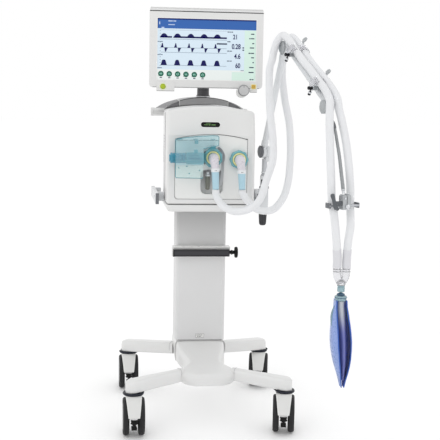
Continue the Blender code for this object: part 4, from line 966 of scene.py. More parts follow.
def unit_back():
    """Rear face: fan grille, gas inlets, mains inlet, sockets, screws and a blank plate."""
    face = Vector((MIDDLE.x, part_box("rear_casing")[1].y, 0))
    right, up = -X, Z
    bm = bmesh.new()
    cx, cz = -0.062, 0.945
    band(bm, circle(cx, cz, 0.047, 48), circle(cx, cz, 0.043, 48), 0.0022, face + Y * 0.0020,
         right, up)
    for i in range(5):
        r = 0.0075 + 0.0072 * i
        band(bm, circle(cx, cz, r + 0.0012, 40), circle(cx, cz, r - 0.0012, 40), 0.0016,
             face + Y * 0.0018, right, up)
    for i in range(8):
        a = math.pi * i / 8
        arm = Vector((math.cos(a), math.sin(a)))
        slab(bm, [(cx + arm.x * s - arm.y * t, cz + arm.y * s + arm.x * t)
                  for s, t in rectangle(-0.044, 0.044, -0.0009, 0.0009)],
             0.0012, face + Y * 0.0014, right, up)
    piece("fan_grille", bm, DARK, "trolley", slot="dark")
    bm = slab(bmesh.new(), circle(cx, cz, 0.044, 48), 0.0010, face + Y * 0.0006, right, up)
    piece("fan_well", bm, VENT, "trolley", slot="dark")
    bm = bmesh.new()
    for row in range(9):
        z = 0.800 + 0.0085 * row
        slab(bm, rounded(0.020, 0.110, z - 0.0017, z + 0.0017, 0.0016, 3), 0.0008,
             face + Y * 0.0004, right, up)
    piece("vent_slots", bm, VENT, "trolley", slot="dark")
    bm = bmesh.new()
    for x in (0.030, 0.068):
        profile = [(0, 0.024), (0.0062, 0.024), (0.0072, 0.0225), (0.0072, 0.016), (0.0095, 0.0155),
                   (0.0095, 0.0090), (0.0072, 0.0085), (0.0072, 0.0050), (0.0120, 0.0045),
                   (0.0120, 0.0), (0, 0.0)]
        turned(bm, profile, face + right * x + up * 0.985, Y, 36)
    piece("gas_inlets", bm, BRASS, "trolley", slot="device")
    bm = slab(bmesh.new(), rounded(-0.104, -0.052, 0.800, 0.836, 0.004, 4), 0.004,
              face + Y * 0.0028, right, up)
    piece("mains_inlet", bm, DARK, "trolley", bevel=0.0008, slot="dark")
    bm = bmesh.new()
    for x in (-0.090, -0.078, -0.066):
        slab(bm, rounded(x - 0.0016, x + 0.0016, 0.812, 0.824, 0.0015, 3), 0.001,
             face + Y * 0.0033, right, up)
    for x in (-0.030, -0.008):
        slab(bm, rounded(x - 0.008, x + 0.008, 0.808, 0.826, 0.002, 3), 0.003,
             face + Y * 0.0020, right, up)
    piece("sockets", bm, VENT, "trolley", slot="dark")
    bm = slab(bmesh.new(), rounded(0.024, 0.104, 0.895, 0.935, 0.002, 3), 0.001,
              face + Y * 0.0006, right, up)
    piece("blank_plate", bm, ZINC, "trolley", slot="device")
    places = [face + right * x + up * z + Y * 0.0002 for x in (-0.119, 0.119)
              for z in (0.775, 0.900, 1.030)]
    screw_heads("rear_screws", places, Y, 0.0038, STEEL, "trolley")
    taper = 0.0419
    flank = bmesh.new()
    for side in (-1, 1):
        for row in range(10):
            z = 0.880 + 0.0100 * row
            outline = rounded(0.030, 0.130, z - 0.0014, z + 0.0014, 0.0013, 3)
            slab(flank, [(p * side, q) for p, q in outline][::side], 0.0006,
                 at(side * (UNIT_HALF - 0.110 * taper + 0.0003), 0, 0),
                 (Y - X * side * taper) * side, Z)
    piece("flank_vents", flank, SEAM, "trolley", slot="dark")


# ---------------------------------------------------------- front fittings
PORTS = {"exp": joint_place("exp_elbow_swivel"), "insp": joint_place("insp_elbow_swivel")}


def polygon(cx, cy, radius, sides, turn=0.0):
    return [(cx + radius * math.cos(2 * math.pi * i / sides + turn),
             cy + radius * math.sin(2 * math.pi * i / sides + turn)) for i in range(sides)]


def dense_polygon(radius, sides, per_side, turn=0.0):
    """A polygon with extra points along its sides."""
    corners = polygon(0, 0, radius, sides, turn)
    out = []
    for (ax, ay), (bx, by) in zip(corners, corners[1:] + corners[:1]):
        out += [(ax + (bx - ax) * i / per_side, ay + (by - ay) * i / per_side)
                for i in range(per_side)]
    return out


def scalloped(radius, lobes, depth, steps):
    """A round outline with evenly spaced dents."""
    return [((radius - depth * (1 - math.cos(lobes * a)) / 2) * math.cos(a),
             (radius - depth * (1 - math.cos(lobes * a)) / 2) * math.sin(a))
            for a in (2 * math.pi * i / steps for i in range(steps))]


def ring_from(name, layers, centre, mat, body, slot="teal", replaces=(), bevel=0.0006):
    """A ring built of outline rings, each (outline, distance in front of the panel)."""
    bm = bmesh.new()
    rings = [[bm.verts.new(centre + X * x + Z * z + FRONT * out) for x, z in outline]
             for outline, out in layers]
    skin(bm, rings + rings[:1], caps=False)
    return piece(name, bm, mat, body, bevel=bevel, slot=slot, replaces=replaces)


def port_rings():
    """Eight-sided valve ring with its lug, and the scalloped inspiratory ring."""
    steps = 64
    exp, insp = PORTS["exp"], PORTS["insp"]
    face_exp, face_insp = (Vector((p.x, UNIT_FRONT, p.z)) for p in (exp, insp))
    turn = math.pi / 8

    def eight(r):
        return dense_polygon(r, 8, steps // 8, turn)

    def round_(r):
        return circle(0, 0, r, steps)

    ring_from("exp_ring_body", [(eight(0.0318), 0.0), (eight(0.0335), 0.003),
                                (eight(0.0335), 0.016), (eight(0.0315), 0.0195),
                                (round_(0.0245), 0.0215),
                                (round_(0.0225), 0.0190), (round_(0.0140), 0.0165),
                                (round_(0.0138), 0.0)], face_exp, TEAL, "exp_valve_ring",
              replaces=("exp_valve_ring",))
    ring_from("insp_ring_body", [(scalloped(0.0302, 8, 0.002, steps), 0.0),
                                 (scalloped(0.0315, 8, 0.0024, steps), 0.003),
                                 (scalloped(0.0315, 8, 0.0024, steps), 0.016),
                                 (scalloped(0.0296, 8, 0.0020, steps), 0.0195),
                                 (round_(0.0240), 0.0215), (round_(0.0222), 0.0190),
                                 (round_(0.0140), 0.0165), (round_(0.0138), 0.0)],
              face_insp, TEAL, "trolley", replaces=("insp_port_ring",))
    for label, face, body in (("exp", face_exp, "exp_valve_ring"), ("insp", face_insp, "trolley")):
        ring_from(label + "_glow", [(round_(0.0222), 0.0186), (round_(0.0222), 0.0200),
                                    (round_(0.0172), 0.0190), (round_(0.0172), 0.0172)],
                  face, GLOW, body, bevel=0.0)
    bm = bmesh.new()
    block(bm, (exp.x - 0.0085, UNIT_FRONT - 0.0190, exp.z + 0.0275),
          (exp.x + 0.0085, UNIT_FRONT - 0.0045, exp.z + 0.0402))
    for i in range(3):
        x = exp.x - 0.0048 + 0.0048 * i
        block(bm, (x - 0.0009, UNIT_FRONT - 0.0198, exp.z + 0.0300),
              (x + 0.0009, UNIT_FRONT - 0.0185, exp.z + 0.0385))
    piece("exp_ring_lug", bm, TEAL_LUG, "exp_valve_ring", bevel=0.0012, slot="teal")
    bm = bmesh.new()
    for a in (157.5, 202.5):
        direction = Vector((math.cos(math.radians(a)), 0, math.sin(math.radians(a))))
        tangent = Vector((-direction.z, 0, direction.x))
        start = face_exp + direction * 0.0322 + FRONT * 0.0100
        swept(bm, [start - tangent * 0.0105, start + tangent * 0.0105], 0.0013, 8)
    piece("exp_ring_gaps", bm, SEAM_DARK, "trolley")


def elbow(label, body):
    """Elbow: bulb on the port, bent neck, white cuff band with a small mark, blue sleeve."""
    port = PORTS[label]
    low_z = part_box(body)[0].z
    path = [port + Vector(p) for p in ((0, 0.001, 0), (0, -0.014, 0), (0, -0.026, 0),
                                       (0, -0.037, -0.0010), (0.0005, -0.0445, -0.0060),
                                       (0.0013, -0.0478, -0.0120), (0.0022, -0.0490, -0.0190),
                                       (0.0032, -0.0497, -0.0270), (0.0040, -0.0500, -0.0340))]
    radii = [0.0122, 0.0124, 0.0162, 0.0172, 0.0164, 0.0148, 0.0136, 0.0126, 0.0120]
    fine = [Vector(p) for p in spline(path, 5)]
    fine_radii = [float(r[0]) for r in spline([(r,) for r in radii], 5)]
    bm = swept(bmesh.new(), fine, fine_radii, 32)
    piece(label + "_elbow_neck", bm, LILAC, body, slot="elbow", replaces=(body,))
    joint = path[-1]
    axis = (Vector((port.x + 0.007, port.y - 0.050, low_z)) - joint).normalized()
    band_profile = [(0, 0.0030), (0.0126, 0.0030), (0.0136, 0.0020), (0.0140, 0.0006),
                    (0.0140, -0.0075), (0.0134, -0.0090), (0, -0.0090)]
    lathe(label + "_cuff", [(r, -h) for r, h in band_profile], joint, axis, CUFF, body, 40,
          slot="elbow")
    mark = joint + axis * 0.0040 + FRONT * 0.0140
    bm = bmesh.new()
    for x, w in ((-0.0034, 0.0022), (0.0002, 0.0030)):
        slab(bm, rectangle(x, x + w, -0.0010, 0.0010), 0.0006, mark, X, Z)
    piece(label + "_cuff_mark", bm, SEAM_DARK, body)
    length = (Vector((0, 0, joint.z - low_z))).z - 0.009
    sleeve = [(0, 0.0), (0.0120, 0.0), (0.0124, 0.0015), (0.0116, length * 0.5),
              (0.0106, length - 0.003), (0.0110, length - 0.0015), (0.0106, length), (0, length)]
    lathe(label + "_sleeve", sleeve, joint + axis * 0.0088, axis, SLEEVE, body, 40, slot="elbow")
    bm = bmesh.new()
    for i in range(4):
        r = 0.0121 - 0.0003 * i
        turned(bm, [(r - 0.0006, -0.0006), (r, 0.0), (r - 0.0006, 0.0006)],
               joint + axis * (0.0150 + 0.0070 * i), axis, 40)
    piece(label + "_sleeve_beads", bm, SLEEVE, body, slot="elbow")


def flap():
    """Transparent hinged cover: clear upper field, milky lower field, rims, clips, screws."""
    low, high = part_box("sensor_flap")
    y = low.y + 0.0002
    origin = Vector((MIDDLE.x, y, 0))
    split_z = 0.8905
    upper = [(-0.123, split_z), (-0.033, split_z), (-0.033, 0.9450), (0.006, 0.9520),
             (0.017, 0.9560), (0.017, 0.9830), (0.013, 0.9868), (0.000, 0.9872), (-0.050, 0.9846),
             (-0.090, 0.9800), (-0.119, 0.9752), (-0.123, 0.9720)]
    lower = [(-0.123, split_z - 0.0004), (-0.123, 0.8530), (-0.1195, 0.8495), (-0.0365, 0.8485),
             (-0.033, 0.8520), (-0.033, split_z - 0.0004)]
    bm = slab(bmesh.new(), upper, 0.0017, origin, X, Z)
    block(bm, (MIDDLE.x - 0.1222, y + 0.0017, 0.9705), (MIDDLE.x + 0.0162, high.y - 0.004, 0.9722))
    piece("flap_upper", bm, FLAP, "sensor_flap", bevel=0.0004, slot="teal_clear",
          replaces=("sensor_flap",))
    bm = slab(bmesh.new(), lower[::-1], 0.0017, origin, X, Z)
    piece("flap_lower", bm, FLAP_LOW, "sensor_flap", bevel=0.0004, slot="teal_clear")
    rim = [Vector((MIDDLE.x + x, y + 0.0008, z)) for x, z in upper[2:] + lower[1:5]]
    bm = swept(bmesh.new(), rim, 0.0012, 10)
    piece("flap_rim", bm, FLAP_EDGE, "sensor_flap", slot="teal_clear")
    bm = bmesh.new()
    for x, z in ((-0.0555, 0.9660), (-0.0570, 0.9350)):
        block(bm, (MIDDLE.x + x - 0.0060, y + 0.0015, z - 0.0060),
              (MIDDLE.x + x + 0.0060, y + 0.0060, z + 0.0060))
    block(bm, (MIDDLE.x - 0.1215, y + 0.0016, 0.9020), (MIDDLE.x - 0.0345, y + 0.0026, 0.9050))
    piece("flap_clips", bm, SENSOR_BLOCK, "sensor_flap", bevel=0.0008, slot="teal")
    bm = bmesh.new()
    for x, z in ((-0.1120, 0.8820), (-0.0860, 0.8870), (-0.0450, 0.8740), (-0.0780, 0.8640)):
        turned(bm, [(0, 0.0008), (0.0018, 0.0008), (0.0022, 0.0), (0, 0.0)],
               Vector((MIDDLE.x + x, y + 0.0002, z)), FRONT, 16)
    piece("flap_pins", bm, FLAP_EDGE, "sensor_flap", slot="teal")
    bm = bmesh.new()
    for x in (-0.105, -0.053, 0.004):
        swept(bm, [Vector((MIDDLE.x + x - 0.008, high.y - 0.0030, 0.9712)),
                   Vector((MIDDLE.x + x + 0.008, high.y - 0.0030, 0.9712))], 0.0022, 16)
    piece("flap_hinges", bm, FLAP_EDGE, "sensor_flap", slot="teal_clear")


def sensor():
    """Flow sensor: ribbed teal barrel with a stepped end and a paler block behind the flap."""
    low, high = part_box("flow_sensor")
    y, z = low.y + 0.0195, 0.9120
    start = Vector((low.x, y, z))
    barrel = [(0, 0.0), (0.0110, 0.0), (0.0120, 0.0010), (0.0120, 0.0030), (0.0160, 0.0036),
              (0.0172, 0.0050), (0.0172, 0.0110), (0.0160, 0.0118), (0.0152, 0.0200),
              (0.0152, 0.0420), (0.0166, 0.0430), (0.0172, 0.0445), (0.0172, 0.0520),
              (0.0150, 0.0530), (0.0150, 0.0560), (0, 0.0560)]
    lathe("sensor_barrel", barrel, start, X, SENSOR, "flow_sensor", 56, slot="teal_dark",
          replaces=("flow_sensor",))
    bm = bmesh.new()
    for i in range(6):
        a = math.radians(60 * i + 20)
        offset = Vector((0, math.cos(a), math.sin(a))) * 0.0154
        swept(bm, [start + X * 0.0130 + offset, start + X * 0.0415 + offset], 0.0012, 10)
    piece("sensor_ribs", bm, SENSOR, "flow_sensor", slot="teal_dark")
    bm = slab(bmesh.new(), rounded(low.x + 0.0545, high.x, z - 0.0190, z + 0.0190, 0.0035, 5),
              0.0360, Vector((0, low.y + 0.0006, 0)), X, Z)
    piece("sensor_block", bm, SENSOR_BLOCK, "flow_sensor", bevel=0.0012, slot="teal_dark")
    bm = bmesh.new()
    for end, z0, z1 in ((0.0060, z - 0.0030, z + 0.0030), (0.0200, z + 0.0080, z + 0.0100)):
        block(bm, (low.x + 0.0600, low.y - 0.0002, z0), (high.x - end, low.y + 0.0012, z1))
    piece("sensor_marks", bm, SENSOR, "flow_sensor", slot="teal_dark")


def water_trap():
    """Olive cup with a pale cap, standing in the niche."""
    low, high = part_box("water_trap")
    centre = Vector(((low.x + high.x) / 2, (low.y + high.y) / 2, low.z))
    cup = [(0, 0.0), (0.0045, 0.0), (0.0064, 0.0010), (0.0074, 0.0030), (0.0078, 0.0300),
           (0.0080, 0.0440), (0.0072, 0.0450), (0, 0.0450)]
    lathe("trap_cup", cup, centre, Z, TRAP, "water_trap", 40, slot="trap", replaces=("water_trap",))
    cap = [(0, 0.0445), (0.0080, 0.0445), (0.0080, 0.0490), (0.0060, 0.0505), (0.0048, 0.0510),
           (0.0048, 0.0590), (0, 0.0590)]
    lathe("trap_cap", cap, centre, Z, CUFF, "water_trap", 40, 12, 0.0004, slot="trap")


# ------------------------------------------------------------------ monitor
SCREEN_LOW, SCREEN_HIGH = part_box("monitor_screen")
SCREEN_WIDTH = SCREEN_HIGH.x - SCREEN_LOW.x
SCREEN_HEIGHT = SCREEN_HIGH.z - SCREEN_LOW.z
BREATHS = [0.066 + 0.1345 * i for i in range(5)]
TRACE_END = 0.701


class Sheet:
    """Flat marks on the screen, placed by shares of its width and height from the top left."""

    def __init__(self, lift):
        self.bm = bmesh.new()
        self.origin = Vector((SCREEN_LOW.x, SCREEN_LOW.y - lift, SCREEN_HIGH.z))

    def shape(self, points, thickness=0.0002):
        outline = [(u * SCREEN_WIDTH, -v * SCREEN_HEIGHT) for u, v in points]
        slab(self.bm, outline, thickness, self.origin, X, Z)

    def bar(self, u0, u1, v0, v1):
        self.shape([(u0, v1), (u1, v1), (u1, v0), (u0, v0)])

    def spot(self, u, v, radius, steps=28):
        cx, cy = u * SCREEN_WIDTH, -v * SCREEN_HEIGHT
        slab(self.bm, circle(cx, cy, radius, steps), 0.0002, self.origin, X, Z)

    def hoop(self, u, v, radius, width, steps=28):
        cx, cy = u * SCREEN_WIDTH, -v * SCREEN_HEIGHT
        band(self.bm, circle(cx, cy, radius, steps), circle(cx, cy, radius - width, steps), 0.0002,
             self.origin, X, Z)

    def done(self, name, mat):
        return piece(name, self.bm, mat, "monitor", slot="screen")


def caption_bars(sheet, u, v, widths, height=0.010, gap=0.004):
    """A short row of bars where a caption would be."""
    for width in widths:
        sheet.bar(u, u + width, v - height / 2, v + height / 2)
        u += width + gap


def traces():
    """Three rows of breathing curves."""
    navy = Sheet(0.0008)
    grey = Sheet(0.0005)
    base = 0.318
    navy.bar(0.038, 0.146, base - 0.026, base)
    navy.bar(0.168, TRACE_END, base - 0.026, base)
    for u in BREATHS:
        navy.shape([(u - 0.044, base), (u + 0.048, base), (u + 0.036, base - 0.026),
                    (u + 0.022, base - 0.056), (u + 0.010, base - 0.070), (u - 0.008, base - 0.070),
                    (u - 0.020, base - 0.058), (u - 0.034, base - 0.028)])
    base = 0.478
    for u in BREATHS:
        left = u - 0.016
        navy.shape([(left - 0.018, base), (left + 0.014, base), (left + 0.008, base - 0.034),
                    (left + 0.004, base - 0.072), (left - 0.004, base - 0.072),
                    (left - 0.009, base - 0.034)])
        right = u + 0.023
        navy.shape([(right - 0.012, base + 0.068), (right - 0.002, base + 0.068),
                    (right + 0.005, base + 0.036), (right + 0.017, base + 0.002),
                    (right - 0.019, base + 0.002)])
    base = 0.768
    for u in BREATHS:
        navy.shape([(u - 0.032, base), (u + 0.032, base), (u + 0.025, base - 0.034),
                    (u + 0.018, base - 0.076), (u + 0.010, base - 0.090), (u - 0.010, base - 0.090),
                    (u - 0.018, base - 0.076), (u - 0.025, base - 0.034)])
    navy.done("screen_traces", SCREEN_NAVY)
    for v in (0.340, 0.478, 0.556, 0.768):
        grey.bar(0.036, TRACE_END, v - 0.0025, v + 0.0025)
    grey.bar(0.036, 0.700, 0.190, 0.1925)
    for row in range(13):
        v = 0.20 + 0.048 * row
        grey.bar(0.024, 0.034, v - 0.004, v + 0.004)
    for u, v, widths in ((0.0, 0.382, (0.022, 0.026)), (0.0, 0.596, (0.026, 0.022)),
                         (0.0, 0.812, (0.046,))):
        caption_bars(grey, u + 0.002, v, widths, 0.014)
    grey.done("screen_lines", SCREEN_GREY)


def readouts():
    """Generic figures to the right of the curves, with bars for their captions."""
    figures = (("21", 0.812, 0.318, 0.074), ("0.28", 0.843, 0.478, 0.080),
               ("4.6", 0.843, 0.638, 0.080), ("60", 0.843, 0.792, 0.078))
    for index, (words, u, v, size) in enumerate(figures):
        font = bpy.data.curves.new(f"figures_{index}", "FONT")
        font.body = words
        font.align_x = "RIGHT"
        font.size = size * SCREEN_HEIGHT / 0.70
        font.extrude = 0.0001
        font.offset = 0.0005
        holder = bpy.data.objects.new(f"figures_{index}", font)
        bpy.context.scene.collection.objects.link(holder)
        bpy.context.view_layer.update()
        graph = bpy.context.evaluated_depsgraph_get()
        mesh = bpy.data.meshes.new_from_object(holder.evaluated_get(graph))
        bpy.data.objects.remove(holder)
        mesh.materials.clear()
        mesh.materials.append(SCREEN_NAVY)
        made = bpy.data.objects.new(f"screen_figures_{index}", mesh)
        bpy.context.scene.collection.objects.link(made)
        spot = Vector((SCREEN_LOW.x + u * SCREEN_WIDTH, SCREEN_LOW.y - 0.0007,
                       SCREEN_HIGH.z - v * SCREEN_HEIGHT))
        narrow = Matrix.Diagonal((0.76, 1, 1, 1))
        mesh.transform(Matrix.Translation(spot) @ Matrix.Rotation(math.pi / 2, 4, "X") @ narrow)
        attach(made, "monitor")
    marks = Sheet(0.0007)
    for v, widths in ((0.203, (0.022, 0.010, 0.016)), (0.362, (0.032,)), (0.516, (0.022, 0.022)),
                      (0.680, (0.026, 0.018))):
        caption_bars(marks, 0.706, v, widths, 0.013)
    for v in (0.448, 0.486):
        marks.bar(0.862, 0.878, v, v + 0.020)
    caption_bars(marks, 0.848, 0.835, (0.012, 0.014), 0.010)
    marks.bar(0.600, 0.704, 0.390, 0.412)
    marks.done("screen_captions", SCREEN_MARK)


def screen():
    """The lit picture: title bar, curve field, side column, lower strip with six settings."""
    finish_node("monitor_screen", SCREEN_SKY, 0.0)
    bar = Sheet(0.0003)
    bar.bar(0.0, 1.0, 0.002, 0.166)
    bar.done("screen_title_bar", SCREEN_BAR)
    edge = Sheet(0.0005)
    edge.bar(0.0, 1.0, 0.0, 0.022)
    edge.bar(0.0, 0.006, 0.0, 0.166)
    edge.done("screen_title_edge", SCREEN_BAR_EDGE)
    light = Sheet(0.0006)
    caption_bars(light, 0.108, 0.044, (0.036, 0.012, 0.022), 0.018)
    caption_bars(light, 0.108, 0.104, (0.066,), 0.014)
    caption_bars(light, 0.016, 0.080, (0.010,), 0.044)
    caption_bars(light, 0.040, 0.154, (0.028,), 0.020)
    light.done("screen_title_marks", SCREEN_WHITE)
    mint = Sheet(0.0003)
    mint.bar(0.882, 1.0, 0.172, 1.0)
    mint.bar(0.758, 0.882, 0.862, 1.0)
    mint.done("screen_side_column", SCREEN_MINT)
    pale = Sheet(0.0003)
    pale.bar(0.0, 0.757, 0.835, 1.0)
    pale.bar(0.758, 0.881, 0.835, 0.861)
    pale.done("screen_lower_strip", SCREEN_PALE)
    column_marks = Sheet(0.0006)
    rows = [(0.230, (0.034,)), (0.304, (0.014, 0.034)), (0.384, (0.020,)), (0.456, (0.044,)),
            (0.545, (0.022, 0.030)), (0.618, (0.028,)), (0.698, (0.014,)), (0.780, (0.046,)),
            (0.862, (0.052,)), (0.980, (0.018, 0.018))]
    for v, widths in rows:
        caption_bars(column_marks, 0.985 - sum(widths) - 0.004 * len(widths), v, widths, 0.017)
    column_marks.done("screen_column_marks", SCREEN_MARK)
    teal, inner, below = Sheet(0.0006), Sheet(0.0009), Sheet(0.0006)
    for i in range(6):
        u, v = 0.038 + 0.0845 * i, 0.908 + 0.002 * i
        teal.spot(u, v, 0.0096)
        teal.shape([(u - 0.030, v + 0.038), (u - 0.018, v + 0.026), (u - 0.022, v + 0.040)])
        inner.hoop(u, v, 0.0052, 0.0006)
        caption_bars(inner, u - 0.010, v, (0.008, 0.008), 0.016, 0.003)
        caption_bars(below, u - 0.012, 0.972 + 0.002 * i, (0.024,), 0.014)
    teal.done("screen_settings", SCREEN_TEAL)
    inner.done("screen_setting_marks", SCREEN_LIGHT)
    below.done("screen_setting_captions", SCREEN_MARK)
    traces()
    readouts()


def bezel():
    """Monitor casing, alarm strip along the top, and the seams and surround of the screen."""
    finish_node("monitor_bezel", WHITE, 0.0, 32)
    finish_node("monitor_back", WHITE_BACK, 0.0, 32)
    low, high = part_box("monitor_bezel")
    front = low.y + 0.0020
    top = high.z
    strip = rounded(low.x + 0.0020, high.x - 0.0020, top - 0.0108, top + 0.0002, 0.0040, 4)
    bm = slab(bmesh.new(), strip, 0.0200, Vector((0, front - 0.0007, 0)), X, Z)
    piece("alarm_strip", bm, STRIP, "monitor", bevel=0.0006, slot="casing")
    bm = block(bmesh.new(), (low.x + 0.0006, front - 0.0004, top - 0.0138),
               (high.x - 0.0006, front + 0.002, top - 0.0112))
    piece("alarm_seam", bm, SEAM_DARK, "monitor", slot="dark")
    bm = block(bmesh.new(), (low.x + 0.0030, front - 0.0009, top - 0.0046),
               (high.x - 0.0030, front + 0.002, top - 0.0008))
    piece("alarm_shade", bm, COVER_DISC, "monitor", bevel=0.0004, slot="casing")
    inner = rectangle(SCREEN_LOW.x, SCREEN_HIGH.x, SCREEN_LOW.z, SCREEN_HIGH.z)
    outer = rectangle(SCREEN_LOW.x - 0.0022, SCREEN_HIGH.x + 0.0022, SCREEN_LOW.z - 0.0022,
                      SCREEN_HIGH.z + 0.0022)
    bm = band(bmesh.new(), outer, inner, 0.0020, Vector((0, front - 0.0002, 0)), X, Z)
    piece("screen_surround", bm, HOUSING_EDGE, "monitor", slot="casing")
    bm = block(bmesh.new(), (low.x + 0.012, front - 0.0003, 1.1396),
               (high.x - 0.012, front + 0.002, 1.1412))
    piece("lower_seam", bm, SEAM, "monitor")


def controls():
    """Lime power button, yellow key and the large dial with its base."""
    low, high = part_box("power_button")
    centre = Vector(((low.x + high.x) / 2, low.y, (low.z + high.z) / 2))
    pod_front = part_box("monitor_bezel")[0].y
    halo = Vector((centre.x, pod_front, centre.z))
    bm = band(bmesh.new(), circle(0, 0, 0.0125, 48), circle(0, 0, 0.0096, 48), 0.0008,
              halo + FRONT * 0.0006, X, Z)
    piece("power_halo", bm, HALO, "monitor", slot="casing")
    cap = [(0, 0.0006), (0.0040, 0.0004), (0.0068, -0.0003), (0.0084, -0.0014), (0.0090, -0.0030),
           (0.0090, -0.0072), (0, -0.0072)]
    lathe("power_cap", cap, centre, FRONT, LIME, "power_button", 48, slot="lime",
          replaces=("power_button",))
    low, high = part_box("pause_button")
    centre = Vector(((low.x + high.x) / 2, low.y, (low.z + high.z) / 2))
    bm = slab(bmesh.new(), rounded(-0.0070, 0.0070, -0.0070, 0.0070, 0.0022, 5), 0.0070,
              centre, X, Z)
    piece("pause_cap", bm, YELLOW, "pause_button", bevel=0.0010, slot="yellow",
          replaces=("pause_button",))
    bm = band(bmesh.new(), circle(0, 0, 0.0044, 32), circle(0, 0, 0.0033, 32), 0.0003,
              centre + FRONT * 0.0003, X, Z)
    slab(bm, [(-0.0034, -0.0022), (-0.0026, -0.0030), (0.0034, 0.0022), (0.0026, 0.0030)], 0.0003,
         centre + FRONT * 0.0003, X, Z)
    piece("pause_mark", bm, BRASS, "pause_button", slot="yellow")
    bm = slab(bmesh.new(), rounded(-0.0100, 0.0100, -0.0095, 0.0095, 0.0030, 5), 0.0010,
              Vector((centre.x, pod_front - 0.0003, centre.z)), X, Z)
    piece("pause_halo", bm, HALO, "monitor", slot="casing")

    low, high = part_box("dial_knob")
    centre = Vector(((low.x + high.x) / 2, high.y, (low.z + high.z) / 2))
    knob = [(0, 0.0196), (0.0130, 0.0196), (0.0165, 0.0190), (0.0185, 0.0176), (0.0194, 0.0150),
            (0.0200, 0.0040), (0.0200, 0.0018), (0.0186, 0.0), (0, 0.0)]
    lathe("dial_body", knob, centre, FRONT, DIAL_GREY, "dial_knob", 96, 24, 0.0006,
          slot="lacquer", replaces=("dial_knob",))
    ring = [(0.0172, 0.0186), (0.0186, 0.0182), (0.0192, 0.0168), (0.0180, 0.0166)]
    bm = bmesh.new()
    u, v = frame_of(FRONT)
    rings = [[bm.verts.new(centre + (u * math.cos(a) + v * math.sin(a)) * r + FRONT * h)
              for a in (2 * math.pi * i / 64 for i in range(64))] for r, h in ring]
    skin(bm, rings + rings[:1], caps=False)
    piece("dial_edge", bm, KNOB_GREY, "dial_knob", slot="lacquer")
    mark = centre + FRONT * 0.0197 + Z * 0.0125
    dot = [(0, 0.0004), (0.0016, 0.0002), (0.0018, -0.0006), (0, -0.0006)]
    bm = turned(bmesh.new(), dot, mark, FRONT, 24)
    piece("dial_mark", bm, KNOB_GREY, "dial_knob", slot="lacquer")
    base = centre + Vector((-0.0040, 0, -0.0062))
    collar = [(0, 0.0008), (0.0176, 0.0008), (0.0188, 0.0), (0.0192, -0.0016), (0.0192, -0.0100),
              (0, -0.0100)]
    lathe("dial_base", collar, base, FRONT, HOUSING_EDGE, "monitor", 64, slot="casing")
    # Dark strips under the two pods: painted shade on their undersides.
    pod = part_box("monitor_bezel")[0]
    bm = bmesh.new()
    for x0, x1 in ((-0.1717, -0.1097), (0.1537, 0.1783)):
        block(bm, (MIDDLE.x + x0 + 0.001, pod.y - 0.0003, 1.1264),
              (MIDDLE.x + x1 - 0.001, pod.y + 0.013, 1.1279))
    piece("pod_underside_shade", bm, SEAM, "monitor", bevel=0.0004)


def monitor_rear():
    """Rear of the monitor: vent slots, mounting plate, screws and a socket bay."""
    low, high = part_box("monitor_back")
    y = low.y + 0.0417
    centre = Vector((MIDDLE.x, y, (low.z + high.z) / 2))
    right, up = -X, Z
    bm = bmesh.new()
    for side in (-1, 1):
        for i in range(12):
            x = side * (0.060 + 0.0085 * i)
            slab(bm, rounded(x - 0.0016, x + 0.0016, 0.040, 0.108, 0.0015, 3), 0.0008,
                 centre + Y * 0.0004, right, up)
    piece("monitor_vents", bm, VENT, "monitor", slot="dark")
    bm = slab(bmesh.new(), rounded(-0.062, 0.062, -0.110, -0.030, 0.006, 5), 0.0030,
              centre + Y * 0.0026, right, up)
    piece("mounting_plate", bm, ZINC, "monitor", bevel=0.0008, slot="device")
    places = [centre + right * x + up * z + Y * 0.0026
              for x in (-0.050, 0.050) for z in (-0.100, -0.040)]
    screw_heads("mounting_screws", places, Y, 0.0042, STEEL, "monitor")
    places = [centre + right * x + up * z + Y * 0.0002
              for x in (-0.176, 0.176) for z in (-0.118, 0.118)]
    screw_heads("monitor_screws", places, Y, 0.0036, STEEL, "monitor")
    bm = bmesh.new()
    for x in (-0.155, -0.128, -0.101):
        slab(bm, rounded(x - 0.010, x + 0.010, -0.104, -0.090, 0.002, 3), 0.0020,
             centre + Y * 0.0014, right, up)
    piece("monitor_sockets", bm, VENT, "monitor", slot="dark")


def neck():
    """Round post with a foot ring and grooves, and the tilt barrel on top."""
    pivot = joint_place("monitor_tilt")
    centre = Vector((pivot.x, pivot.y, 0))
    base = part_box("monitor_neck")[0].z
    post = [(0, base), (0.0236, base), (0.0242, base + 0.0010), (0.0240, base + 0.0046),
            (0.0222, base + 0.0066), (0.0212, base + 0.0100), (0.0210, base + 0.0300),
            (0.0210, pivot.z - 0.0060), (0.0196, pivot.z - 0.0030), (0, pivot.z - 0.0030)]
    lathe("neck_post", post, centre, Z, NECK, "monitor_neck", 64, slot="cover",
          replaces=("monitor_neck",))
    ring = [(0, base + 0.0002), (0.0246, base + 0.0002), (0.0254, base + 0.0012),
            (0.0246, base + 0.0030), (0, base + 0.0030)]
    lathe("neck_ring", ring, centre, Z, CUFF, "monitor_neck", 64, slot="casing")
    barrel = [(0, 0.0335), (0.0140, 0.0335), (0.0160, 0.0320), (0.0165, 0.0300), (0.0165, -0.0300),
              (0.0160, -0.0320), (0.0140, -0.0335), (0, -0.0335)]
    lathe("neck_barrel", barrel, pivot, X, NECK, "monitor_neck", 48, slot="cover")
    bm = bmesh.new()
    for i in range(4):
        z = base + 0.024 + 0.011 * i
        turned(bm, [(0.0207, 0.0006), (0.0213, 0.0), (0.0207, -0.0006)], centre + Z * z, Z, 48)
    piece("neck_grooves", bm, DARK, "monitor_neck", slot="cover")


